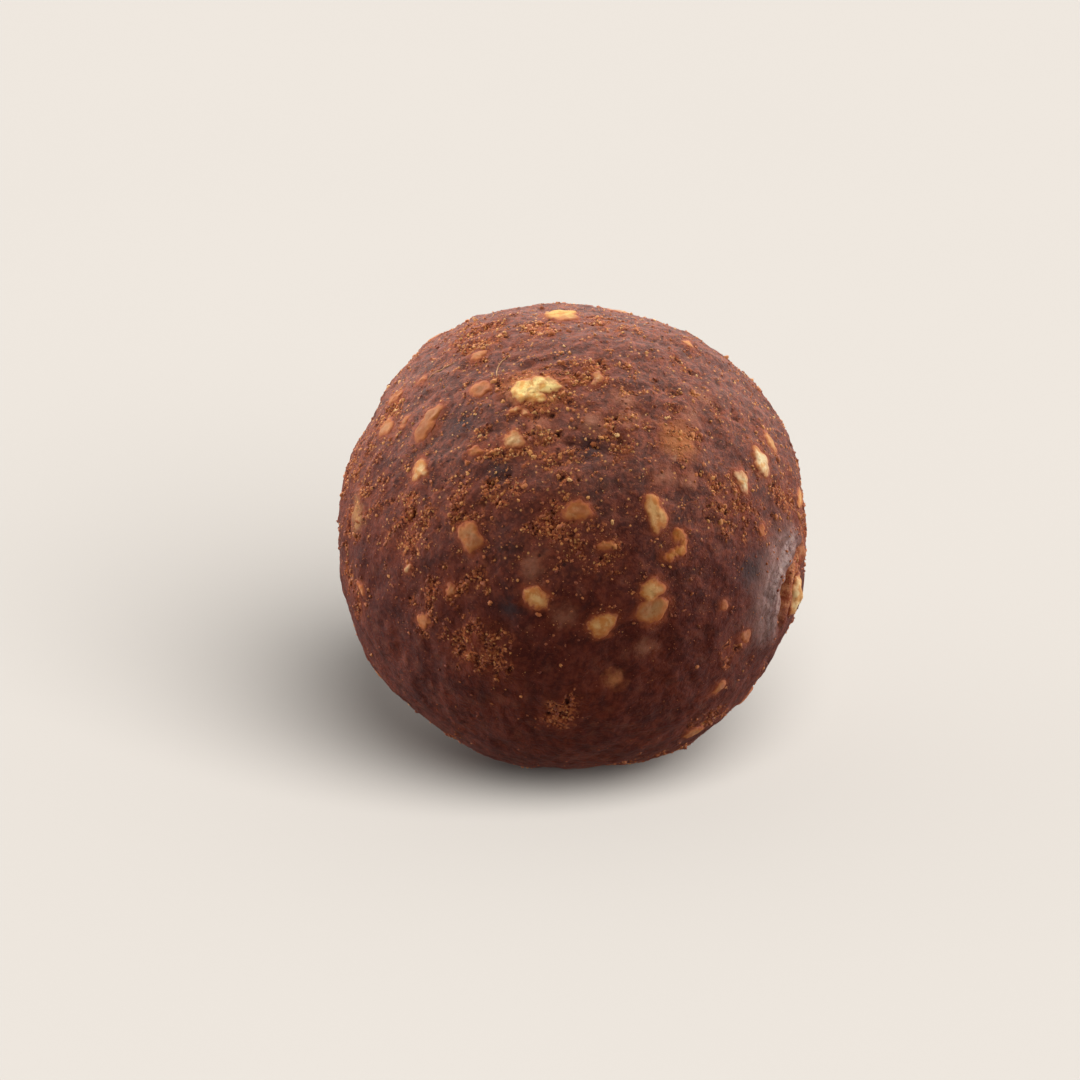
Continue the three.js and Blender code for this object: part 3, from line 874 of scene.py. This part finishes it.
    def grey_patch_share(self):
        """How blue-grey the paste is, from 0 to 1."""
        share = np.zeros(len(self.spots))
        for across, up, reach in GREY_PATCHES:
            distance = np.linalg.norm(self.spots - seen_direction(across, up) * RADIUS, axis=1)
            share = np.maximum(share, bell(distance, 0, reach))
        return share

    def vertex_normals(self):
        """Mean normals of the triangles at each vertex."""
        a, b, c = (self.points[self.triangles[:, i]] for i in range(3))
        flat = np.cross(b - a, c - a)
        normals = np.zeros_like(self.points)
        for i in range(3):
            for axis in range(3):
                normals[:, axis] += np.bincount(self.triangles[:, i], flat[:, axis], len(normals))
        return unit(normals)

    def hollows(self):
        """How sunken each vertex is among its neighbours, for painted shade in the hollows."""
        height = self.relief + self.base
        return smoothed(height, self.edges, self.HOLLOW_ROUNDS) - height

    def surface_tree(self):
        """The surface, for finding how high it is in a direction."""
        return BVHTree.FromPolygons(self.points.tolist(), self.triangles.tolist())


def joined(parts):
    """Several (points, triangles) as one."""
    starts = np.cumsum([0] + [len(points) for points, _ in parts[:-1]])
    points = np.concatenate([points for points, _ in parts])
    return points, np.concatenate([triangles + start for start, (_, triangles) in zip(starts, parts)])


def disc_triangles(rings, spokes):
    """Triangles of a closed cap: its middle, rings of corners, and a point below."""
    ring = 1 + np.arange(rings * spokes).reshape(rings, spokes)
    following = np.roll(ring, -1, axis=1)
    middle = np.column_stack([np.zeros(spokes, int), ring[0], following[0]])
    inner = np.stack([ring[:-1], ring[1:], following[1:]], axis=-1).reshape(-1, 3)
    outer = np.stack([ring[:-1], following[1:], following[:-1]], axis=-1).reshape(-1, 3)
    below = np.full(spokes, 1 + rings * spokes)
    bottom = np.column_stack([below, following[-1], ring[-1]])
    return np.concatenate([middle, inner, outer, bottom])


def chip_cap(chip, chips, tree, number):
    """A chip's corners, how far each is outside its outline or a touching chip's, and the paste on it."""
    turns = np.arange(CHIP_SPOKES) * 2 * math.pi / CHIP_SPOKES
    facing = np.column_stack([np.cos(turns), np.sin(turns)])
    outline = facing * (chip.reach(facing) + CHIP_MARGIN)[:, None]
    rings = [outline * share for share in np.linspace(0, 1, CHIP_RINGS + 1)[1:]]
    flat = np.concatenate([np.zeros((1, 2)), *rings, np.zeros((1, 2))])
    spots = chip.out * RADIUS + flat[:, :1] * chip.along + flat[:, 1:] * chip.side
    edge = chip.edge(spots)
    least, share = CHIP_LIFT
    rough = CHIP_ROUGHNESS * noise_at(spots + CHIP_FACE_SHIFT * number, "chip face")
    height = (CHIP_BED + least + share * chip.proud + rough) * step(*CHIP_SLOPE, edge)
    height -= CHIP_SINK * step(CHIP_SINK_FROM, CHIP_MARGIN, edge)
    height[-1] = -CHIP_DEPTH
    directions = unit(spots)
    points = directions * (radius_in(tree, directions) + height)[:, None]
    for other in chips:
        if other.touches(chip):
            edge = np.minimum(edge, other.edge(spots))
    cover = np.clip(chip.cover + VEIL_LEAN * flat @ unit(chip.lean) / chip.length * 2, 0, 1)
    return points, edge, cover


def fold_nut(tree):
    """The lump of nut behind the fold: its corners, how far outside its rim each is, and its triangles."""
    out = seen_direction(*FOLD_NUT["spot"])
    along, side = axes_at(out, FOLD_NUT["turn"])
    directions, triangles, _ = ball_grid(FOLD_NUT_SPLITS)
    shape = directions * FOLD_NUT["half"]
    shape *= 1 + FOLD_NUT["lumpy"] * noise_at(shape, "fold nut")[:, None]
    turned = shape[:, :1] * along + shape[:, 1:2] * side + shape[:, 2:] * out
    points = out * (radius_in(SOLID, out[None]) - FOLD_NUT["sunk"]) + turned
    height = np.linalg.norm(points, axis=1) - radius_in(tree, unit(points))
    at_skin, deeper = FOLD_NUT_RIM
    return points, at_skin - deeper * height, triangles


def chip_parts(chips, skin, random):
    """The chips' mesh, and the edge, the cover and the tint at each vertex."""
    tree = skin.surface_tree()
    disc = disc_triangles(CHIP_RINGS, CHIP_SPOKES)
    bare = [chip for chip in chips if chip.cover <= MOST_COVER]
    parts, edges, covers, tints = [], [], [], []
    for number, chip in enumerate(bare):
        points, edge, cover = chip_cap(chip, bare, tree, number)
        parts.append((points, disc))
        edges.append(edge)
        covers.append(cover)
        tints.append(np.tile(linear(NUT_TINTS[chip.tint]) * random.uniform(*CHIP_SHADES), (len(points), 1)))
    points, edge, triangles = fold_nut(tree)
    parts.append((points, triangles))
    edges.append(edge)
    covers.append(np.zeros(len(points)))
    tints.append(np.tile(linear(NUT_TINTS[FOLD_NUT["tint"]]), (len(points), 1)))
    points, triangles = joined(parts)
    points[:, 2] = np.maximum(points[:, 2], -CENTRE[2])
    held = dict(edge=np.concatenate(edges), cover=np.concatenate(covers), tint=opaque(np.concatenate(tints)))
    return points, triangles, held


def grain_places(skin, kind, random):
    """Spots on the skin for loose grains, most where it is crumbly, with its normals and how dry it is."""
    corners = skin.points[skin.triangles]
    area = np.linalg.norm(np.cross(corners[:, 1] - corners[:, 0], corners[:, 2] - corners[:, 0]), axis=1)
    bare = skin.veil[skin.triangles].mean(1) <= MOST_COVER
    chip = np.where(bare, skin.chip[skin.triangles].mean(1), 1.0)
    rise = corners.mean(1)[:, 2]
    share = (skin.crumble + kind["loose"] * skin.dusty)[skin.triangles].mean(1)
    lifted = rise > GRAIN_LOWEST - CENTRE[2]
    clumped = 1 - kind["clumped"] * (1 - skin.clump[skin.triangles].mean(1))
    gathered = 1 + GATHERED * bell(chip, GATHERED_AT, GATHERED_REACH)
    weight = area * share * clumped * gathered * lifted * step(*GRAIN_CLEAR, chip)
    chosen = random.choice(len(weight), kind["count"], p=weight / weight.sum())
    shares = random.dirichlet((1, 1, 1), kind["count"])[:, :, None]
    places = (corners[chosen] * shares).sum(1)
    normals = unit((skin.normals[skin.triangles[chosen]] * shares).sum(1))
    return places, normals, skin.dry_and_sheen[skin.triangles[chosen]].mean(1)


def grain_parts(skin, kind):
    """Loose grains of one kind on the skin: their mesh, and a tone from 0 to 1 for each vertex."""
    random = np.random.default_rng(kind["seed"])
    count = kind["count"]
    places, normals, dry_and_sheen = grain_places(skin, kind, random)
    low, high = kind["size"]
    sizes = low + (high - low) * random.power(GRAIN_SMALLNESS, count)
    directions, triangles = ball_grid(kind["detail"])[:2] if kind["detail"] else eight_sided()
    squash = random.uniform(*GRAIN_SQUASH, (count, 1, 3))
    jitter = random.uniform(*GRAIN_JITTER, (count, len(directions), 1))
    shapes = directions[None] * squash * jitter * sizes[:, None, None] / 2
    turned = np.einsum("nij,nvj->nvi", random_turns(random, count), shapes)
    middles = places - normals * (kind["sunk"] * sizes)[:, None]
    points = (middles[:, None] + turned).reshape(-1, 3)
    starts = np.arange(count)[:, None, None] * len(directions)
    tones = random.beta(*GRAIN_TONES, count) * (MOIST_TONE + (1 - MOIST_TONE) * dry_and_sheen)
    return points, (triangles[None] + starts).reshape(-1, 3), np.repeat(tones, len(directions))


def random_turns(random, count):
    """Rotation matrices, turned any way."""
    drawn = unit(random.normal(size=(count, 4)))
    return np.array([Quaternion((w, x, y, z)).to_matrix() for x, y, z, w in drawn])


def fibre_tube(tree, start, end, width, bend):
    """A thin strand that lies on the skin from one direction to another, tapered to both ends."""
    share = np.linspace(0, 1, FIBRE_STEPS)[:, None]
    side = unit(np.cross(start, end))
    path = unit(start * (1 - share) + end * share + side * bend * np.sin(math.pi * share))
    height = radius_in(tree, path)[:, None]
    middles = path * (height + FIBRE_LIFT * width)
    turns = np.arange(FIBRE_SIDES) * 2 * math.pi / FIBRE_SIDES
    thick = width / 2 * (1 - FIBRE_TAPER * np.abs(2 * share - 1) ** 2)
    ring = np.cos(turns)[None, :, None] * side + np.sin(turns)[None, :, None] * path[:, None]
    points = (middles[:, None] + thick[:, :, None] * ring).reshape(-1, 3)
    index = np.arange(FIBRE_STEPS * FIBRE_SIDES).reshape(FIBRE_STEPS, FIBRE_SIDES)
    following = np.roll(index, -1, axis=1)
    first = np.stack([index[:-1], following[:-1], following[1:]], axis=-1).reshape(-1, 3)
    second = np.stack([index[:-1], following[1:], index[1:]], axis=-1).reshape(-1, 3)
    fan = np.arange(1, FIBRE_SIDES - 1)
    head = np.column_stack([np.zeros_like(fan), fan + 1, fan])
    tail = np.column_stack([np.zeros_like(fan), fan, fan + 1]) + (FIBRE_STEPS - 1) * FIBRE_SIDES
    return points, np.concatenate([first, second, head, tail])


def fibre_parts(skin, random):
    """Pale fibres of the dates on the skin."""
    tree = skin.surface_tree()
    ends = [(seen_direction(*start), seen_direction(*end)) for start, end in FIBRES]
    while len(ends) < len(FIBRES) + OTHER_FIBRES:
        start = unit(random.normal(size=3))
        if start[2] < CHIP_LOWEST or start @ TOWARDS_VIEWER > FIBRE_FACING:
            continue
        away = random.normal(size=3) * random.uniform(*FIBRE_LENGTH) / RADIUS
        ends.append((start, unit(start + away - (away @ start) * start)))
    tubes = []
    for start, end in ends:
        bend = random.uniform(-FIBRE_BEND, FIBRE_BEND) * np.linalg.norm(end - start)
        tubes.append(fibre_tube(tree, start, end, random.uniform(*FIBRE_WIDTH), bend))
    return joined(tubes)


def opaque(colours):
    """The colours with a fourth value of 1."""
    return np.column_stack([colours, np.ones(len(colours))])


def make_piece(name, points, triangles, material, slot, **held):
    """A mesh object in the row frame, which holds numbers, places or colours for its material."""
    mesh = bpy.data.meshes.new(name)
    mesh.from_pydata(((points + CENTRE) * MM).tolist(), [], triangles.tolist())
    mesh.shade_smooth()
    kinds = {1: ("FLOAT", "value"), 3: ("FLOAT_VECTOR", "vector"), 4: ("FLOAT_COLOR", "color")}
    for key, values in held.items():
        kind, field = kinds[values.size // len(values)]
        mesh.attributes.new(key, kind, "POINT").data.foreach_set(field, values.astype(np.float32).ravel())
    mesh.materials.append(material)
    piece = bpy.data.objects.new(name, mesh)
    bpy.context.scene.collection.objects.link(piece)
    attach(piece, "root")
    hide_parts(NODE)
    return piece


class Nodes:
    """Short words for making the nodes of a material or of a world."""

    def __init__(self, owner):
        owner.use_nodes = True
        self.owner = owner
        self.tree = owner.node_tree
        self.tree.nodes.clear()

    def add(self, kind, sockets=None, **settings):
        """A node with its settings, and with each socket linked or set."""
        made = self.tree.nodes.new(kind)
        for key, value in settings.items():
            setattr(made, key, value)
        for key, value in (sockets or {}).items():
            if isinstance(value, bpy.types.NodeSocket):
                self.tree.links.new(value, made.inputs[key])
            else:
                made.inputs[key].default_value = value
        return made

    def math(self, operation, first, second):
        """A sum, a product or the like of two numbers."""
        return self.add("ShaderNodeMath", {0: first, 1: second}, operation=operation).outputs[0]

    def times(self, product, *others):
        """The product of some numbers."""
        for other in others:
            product = self.math("MULTIPLY", product, other)
        return product

    def plus(self, total, *others):
        """The sum of some numbers."""
        for other in others:
            total = self.math("ADD", total, other)
        return total


class MaterialNodes(Nodes):
    """Short words for patterns and colours, in millimetres of the object."""

    def __init__(self, name):
        super().__init__(bpy.data.materials.new(name))
        self.place = self.scaled(self.add("ShaderNodeTexCoord").outputs["Object"], 1 / MM)

    def scaled(self, vector, factor):
        """The vector at that many times its length."""
        return self.add("ShaderNodeVectorMath", {0: vector, "Scale": factor}, operation="SCALE").outputs[0]

    def held(self, name, output="Fac"):
        """What the mesh holds at each vertex under that name."""
        return self.add("ShaderNodeAttribute", attribute_name=name).outputs[output]

    def noise(self, name, place=None):
        """One of the patterns, around one half."""
        size, detail, roughness = PATTERNS[name]
        sockets = {"Vector": place or self.place, "Scale": 1 / size, "Detail": detail, "Roughness": roughness}
        return self.add("ShaderNodeTexNoise", sockets).outputs["Fac"]

    def frayed(self, edge, amount, name):
        """The edge, with one of the patterns moving it in and out."""
        return self.plus(edge, self.times(self.math("SUBTRACT", self.noise(name), 0.5), amount))

    def between(self, low, high, value):
        """From 0 at low to 1 at high, smoothly."""
        sockets = {"Value": value, "From Min": low, "From Max": high}
        return self.add("ShaderNodeMapRange", sockets, interpolation_type="SMOOTHSTEP").outputs["Result"]

    def mix(self, share, first, second, way="MIX"):
        """The first colour turning into the second, or into their product, as the share goes from 0 to 1."""
        colours = [c if isinstance(c, bpy.types.NodeSocket) else (*linear(c), 1) for c in (first, second)]
        sockets = {0: share, 6: colours[0], 7: colours[1]}
        return self.add("ShaderNodeMix", sockets, data_type="RGBA", blend_type=way).outputs[2]

    def layer(self, colour, name, value, *masks):
        """The colour with one of the layers over it, where the value and the masks let it show."""
        tint, cover, *rise = LAYERS[name]
        shown = self.between(*rise, value) if rise else value
        return self.mix(self.times(shown, *masks, cover), colour, tint)

    def ramp(self, share, stops):
        """Colours along the share, each stop a place and a screen colour."""
        made = self.add("ShaderNodeValToRGB", {"Fac": share})
        elements = made.color_ramp.elements
        while len(elements) < len(stops):
            elements.new(0.5)
        for element, (place, colour) in zip(elements, stops):
            element.position = place
            element.color = (*linear(colour), 1)
        return made.outputs["Color"]

    def warped(self, size, amount):
        """Places that noise of that size moves by up to about the amount."""
        sockets = {"Vector": self.place, "Scale": 1 / size, "Detail": 2.0}
        cloud = self.add("ShaderNodeTexNoise", sockets).outputs["Color"]
        shift = self.add("ShaderNodeVectorMath", {0: cloud, 1: (0.5, 0.5, 0.5)}, operation="SUBTRACT")
        moved = {0: self.place, 1: self.scaled(shift.outputs[0], 2 * amount)}
        return self.add("ShaderNodeVectorMath", moved, operation="ADD").outputs[0]

    def spots(self, name, share, place=None):
        """Spots of a kind, in a share of their cells."""
        size, reach, blur = SPOTS[name]
        cells = self.add("ShaderNodeTexVoronoi", {"Vector": place or self.place, "Scale": 1 / size})
        near = self.between(reach + blur, reach - blur, cells.outputs["Distance"])
        drawn = self.add("ShaderNodeSeparateColor", {0: cells.outputs["Color"]}).outputs[0]
        return self.times(near, self.math("LESS_THAN", drawn, share))

    def bump(self, height, strength, distance):
        """A normal from a height that is 1 at that many millimetres."""
        sockets = {"Height": height, "Strength": strength, "Distance": distance * MM}
        return self.add("ShaderNodeBump", sockets).outputs["Normal"]

    def finish(self, **sockets):
        """Ends in a Principled shader with these sockets, and returns the material."""
        named = {key.replace("_", " "): value for key, value in sockets.items()}
        shader = self.add("ShaderNodeBsdfPrincipled", named)
        self.add("ShaderNodeOutputMaterial", {"Surface": shader.outputs[0]})
        return self.owner


def paste_colour(n, contrast):
    """The paste where it is whole, with paler, darker and red spots. Also its mottle, and bent places."""
    colour = n.ramp(n.noise("tones"), PASTE_STOPS)
    blotches = n.noise("blotches")
    colour = n.layer(colour, "pale blotch", blotches)
    colour = n.layer(colour, "dark blotch", blotches)
    bent = n.warped(*SPOT_WARP)
    colour = n.layer(colour, "pale spot", n.spots("pale spot", PALE_SPOTS, bent))
    colour = n.layer(colour, "murky spot", n.spots("murky spot", MURKY_SPOTS, bent))
    colour = n.layer(colour, "red fleck", n.spots("red fleck", RED_FLECKS, bent), contrast)
    mottle = n.noise("mottle")
    colour = n.layer(colour, "light mottle", mottle, contrast)
    colour = n.layer(colour, "dark mottle", mottle, contrast)
    return colour, mottle, bent


def fold_colour(n, colour, mottle, inner):
    """The colour at the fold: hazy before it, partly with painted sheen, with a streaky painted highlight on
    its lip, and orange behind it.
    """
    # A pale dusty haze before the fold, partly painted sheen, and a painted highlight in streaks on the lip
    colour = n.layer(colour, "haze_and_sheen", n.held("haze_and_sheen"))
    sheen = n.noise("sheen", n.held("sheen", "Vector"))
    colour = n.layer(colour, "sheen", sheen, n.held("lip"), n.between(*SHEEN_MOTTLE, mottle))
    colour = n.layer(colour, "inner paste", inner)
    return n.layer(colour, "inner crumb", n.noise("inner layer"), inner)


def chip_colour(n, colour):
    """The colour round the chips, partly painted glow of light scattered out of them, and over those that
    only show through.
    """
    edge = n.frayed(n.held("chip"), HALO_FRAY, "halo edge")
    shown = n.math("SUBTRACT", 1.0, n.times(n.held("veil"), VEIL_HIDES))
    colour = n.layer(colour, "chip halo", edge, shown)
    ghost = n.times(n.between(*GHOST_EDGE, edge), shown, GHOST_COVER)
    return n.mix(ghost, colour, n.held("under", "Color"))


def paste_material():
    """Smeared paste: red-brown skin, orange where it is torn, with chips showing through."""
    n = MaterialNodes("paste")
    crumble = n.held("crumble")
    dry_and_sheen = n.held("dry_and_sheen")
    inner = n.held("inner")
    colour, mottle, bent = paste_colour(n, n.plus(n.times(dry_and_sheen, DRY_CONTRAST), MOIST_CONTRAST))
    # The dry top: partly a dusty tint, partly painted sheen from the light above
    colour = n.layer(colour, "dry_and_sheen", dry_and_sheen)
    colour = n.layer(colour, "moist", n.math("SUBTRACT", 1.0, dry_and_sheen))
    smears = n.noise("smears", n.held("streaks", "Vector"))
    # Painted sheen on the smears' ridges and painted shade in their grooves
    colour = n.layer(colour, "pale streak", smears, dry_and_sheen)
    colour = n.layer(colour, "dark streak", smears)
    colour = n.layer(colour, "glow", n.held("glow"))
    # Dark blue-grey patches, one of them painted shade in a hollow
    colour = n.layer(colour, "grey_patch", n.noise("grey_patches"), n.held("grey_patch"))
    colour = fold_colour(n, colour, mottle, inner)
    colour = chip_colour(n, colour)
    grain = n.noise("torn grain")
    colour = n.layer(colour, "light crumb", grain, crumble)
    colour = n.layer(colour, "dark crumb", grain, crumble)
    golden = n.plus(n.times(crumble, TORN_GOLDEN_SPECKS), n.times(dry_and_sheen, DRY_GOLDEN_SPECKS))
    colour = n.layer(colour, "golden speck", n.spots("golden speck", golden))
    colour = n.layer(colour, "dark speck", n.spots("dark speck", n.times(dry_and_sheen, DRY_DARK_SPECKS), bent))
    # Painted shade in the hollows, less of it behind the fold
    shaded = n.math("SUBTRACT", HOLLOW_SHADE, n.times(inner, INNER_LESS_SHADE))
    colour = n.layer(colour, "hollow", n.held("hollow"), shaded)
    rough = n.plus(n.times(crumble, TORN_ROUGHNESS), n.times(mottle, MOTTLE_ROUGHNESS), PASTE_ROUGHNESS)
    height = n.plus(n.times(mottle, MOTTLE_BUMP), n.times(grain, crumble, TORN_BUMP))
    return n.finish(
        Base_Color=colour,
        Roughness=rough,
        Normal=n.bump(n.plus(height, n.times(smears, dry_and_sheen, SMEAR_BUMP)), strength=0.7, distance=0.3),
        Specular_IOR_Level=0.1,
        Sheen_Weight=0.05,
        Sheen_Roughness=0.45,
        Sheen_Tint=(*linear(DUST), 1),
        Subsurface_Weight=0.15,
        Subsurface_Radius=(1.0, 0.35, 0.15),
        Subsurface_Scale=0.5 * MM,
    )


def nut_material():
    """Chopped nut, waxy and cream to tan, stained and veiled by the paste, which closes over its edge."""
    n = MaterialNodes("nut")
    paste, mottle, _ = paste_colour(n, NUT_PASTE_CONTRAST)
    cover = n.held("cover")
    edge = n.held("edge")
    grain = n.noise("nut grain")
    amber = n.times(n.between(*AMBER_RISE, grain), AMBER_SHARE)
    nut = n.mix(amber, n.held("tint", "Color"), AMBER, "MULTIPLY")
    nut = n.layer(nut, "nut film", n.plus(n.noise("nut film"), n.times(cover, COVER_FILM)))
    nut = n.layer(nut, "nut cover", cover)
    nut = n.layer(nut, "nut rim", edge)
    inside = n.between(*NUT_EDGE, n.frayed(edge, NUT_FRAY, "nut edge"))
    colour = n.layer(paste, "nut stain", inside)
    return n.finish(
        Base_Color=n.mix(n.between(*NUT_RISE, inside), colour, nut),
        Roughness=n.plus(n.times(grain, NUT_GRAIN_ROUGHNESS), NUT_ROUGHNESS),
        Normal=n.bump(mottle, strength=0.25, distance=0.2),
        Specular_IOR_Level=0.2,
    )


def crumb_material():
    """Loose crumbs, from dark red-brown over orange-brown to golden."""
    n = MaterialNodes("crumb")
    return n.finish(
        Base_Color=n.layer(n.ramp(n.held("tone"), CRUMB_STOPS), "crumb mottle", n.noise("crumb")),
        Roughness=0.5,
        Normal=n.bump(n.noise("crumb bumps"), strength=0.5, distance=0.05),
        Specular_IOR_Level=0.35,
    )


def fibre_material():
    """Pale dry fibre, darker along a part of its length."""
    n = MaterialNodes("fibre")
    colour = n.mix(n.noise("fibre"), *FIBRE_COLOURS)
    return n.finish(Base_Color=colour, Roughness=0.55, Specular_IOR_Level=0.3)


def floor_material():
    """A plain pale floor."""
    n = MaterialNodes("floor")
    darker = tuple(FLOOR_MOTTLE * value for value in FLOOR_COLOUR)
    return n.finish(
        Base_Color=n.mix(n.noise("floor"), FLOOR_COLOUR, darker),
        Roughness=0.9,
        Specular_IOR_Level=0.0,
        Emission_Color=(*linear(BACKDROP), 1),
        Emission_Strength=FLOOR_GLOW,
    )


def make_floor():
    """A wide pale floor under the ball."""
    corners = [(x * FLOOR_HALF, y * FLOOR_HALF, 0) for x, y in ((-1, -1), (1, -1), (1, 1), (-1, 1))]
    mesh = bpy.data.meshes.new("floor")
    mesh.from_pydata(corners, [], [(0, 1, 2, 3)])
    mesh.materials.append(floor_material())
    floor = bpy.data.objects.new("floor", mesh)
    floor.visible_diffuse = False
    floor.visible_glossy = False
    bpy.context.scene.collection.objects.link(floor)
    return floor


def make_camera():
    """A long lens that looks down on the show side."""
    camera = bpy.data.cameras.new("camera")
    camera.lens = LENS
    camera.clip_start = CLIP_START
    camera.sensor_width = SENSOR_WIDTH
    holder = bpy.data.objects.new("camera", camera)
    holder.location = Vector((CENTRE + EYE) * MM)
    holder.rotation_euler = (math.radians(90 - VIEW_TILT), 0, 0)
    bpy.context.scene.collection.objects.link(holder)
    bpy.context.scene.camera = holder


def make_lamp(name, strength, softness, back, left, lit):
    """A wide soft lamp above, tilted back and left by these angles, for some objects only."""
    light = bpy.data.lights.new(name, "SUN")
    light.energy = strength
    light.angle = math.radians(softness)
    lamp = bpy.data.objects.new(name, light)
    lamp.rotation_euler = (math.radians(-back), math.radians(-left), 0)
    bpy.context.scene.collection.objects.link(lamp)
    lamp.light_linking.receiver_collection = bpy.data.collections.new("lit by " + name)
    for item in lit:
        lamp.light_linking.receiver_collection.objects.link(item)


def light_room():
    """Lights the room from behind and from both sides, with a plain backdrop for the camera."""
    n = Nodes(bpy.data.worlds.new("room"))
    bpy.context.scene.world = n.owner
    direction = n.add("ShaderNodeTexCoord").outputs["Generated"]

    def along(axis):
        """How far a direction points along the axis, and not below zero."""
        made = n.add("ShaderNodeVectorMath", {0: direction, 1: axis}, operation="DOT_PRODUCT")
        return n.math("MAXIMUM", made.outputs["Value"], 0.0)

    right = n.times(n.math("POWER", along(VIEW_RIGHT), ROOM_SIDE_FOCUS), ROOM_RIGHT)
    left = n.times(n.math("POWER", along(-VIEW_RIGHT), ROOM_SIDE_FOCUS), ROOM_LEFT)
    above_floor = n.math("GREATER_THAN", along((0, 0, 1)), 0.0)
    behind = n.times(along((0, 1, 0)), above_floor, ROOM_BEHIND)
    sides = n.times(n.plus(right, left), n.math("MAXIMUM", above_floor, ROOM_SIDES_BELOW))
    level = n.plus(behind, sides, ROOM_LEAST)
    room = n.add("ShaderNodeBackground", {"Color": (1, 1, 1, 1), "Strength": level})
    backdrop = n.add("ShaderNodeBackground", {"Color": (*linear(BACKDROP), 1)})
    seen = n.add("ShaderNodeLightPath").outputs["Is Camera Ray"]
    choice = n.add("ShaderNodeMixShader", {0: seen, 1: room.outputs[0], 2: backdrop.outputs[0]})
    n.add("ShaderNodeOutputWorld", {"Surface": choice.outputs[0]})


def make_ball():
    """The paste with its chips, crumbs and fibres."""
    random = np.random.default_rng(SEED)
    chips = seen_chips(random) + unseen_chips(random)
    skin = Skin(chips, random)
    held = {name: getattr(skin, name) for name in SKIN_VALUES}
    held.update(hollow=skin.hollows(), streaks=skin.streaks, sheen=skin.sheen, under=opaque(skin.under))
    pieces = [make_piece("paste_skin", skin.points, skin.triangles, paste_material(), "paste", **held)]
    points, triangles, held = chip_parts(chips, skin, random)
    pieces.append(make_piece("nut_chips", points, triangles, nut_material(), "nut", **held))
    pieces.append(make_piece("fibres", *fibre_parts(skin, random), fibre_material(), "crumb"))
    crumb = crumb_material()
    for name, kind in GRAIN_KINDS.items():
        points, triangles, tone = grain_parts(skin, kind)
        pieces.append(make_piece(name, points, triangles, crumb, "crumb", tone=tone))
    return pieces


make_camera()
floor = make_floor()
pieces = make_ball()
light_room()
make_lamp("overhead", LAMP_STRENGTH, LAMP_SOFTNESS, LAMP_BACK, LAMP_LEFT, pieces)
make_lamp("floor lamp", FLOOR_LAMP_STRENGTH, FLOOR_LAMP_SOFTNESS, FLOOR_LAMP_BACK, FLOOR_LAMP_LEFT, [floor])
bpy.context.scene.view_settings.view_transform = "Standard"
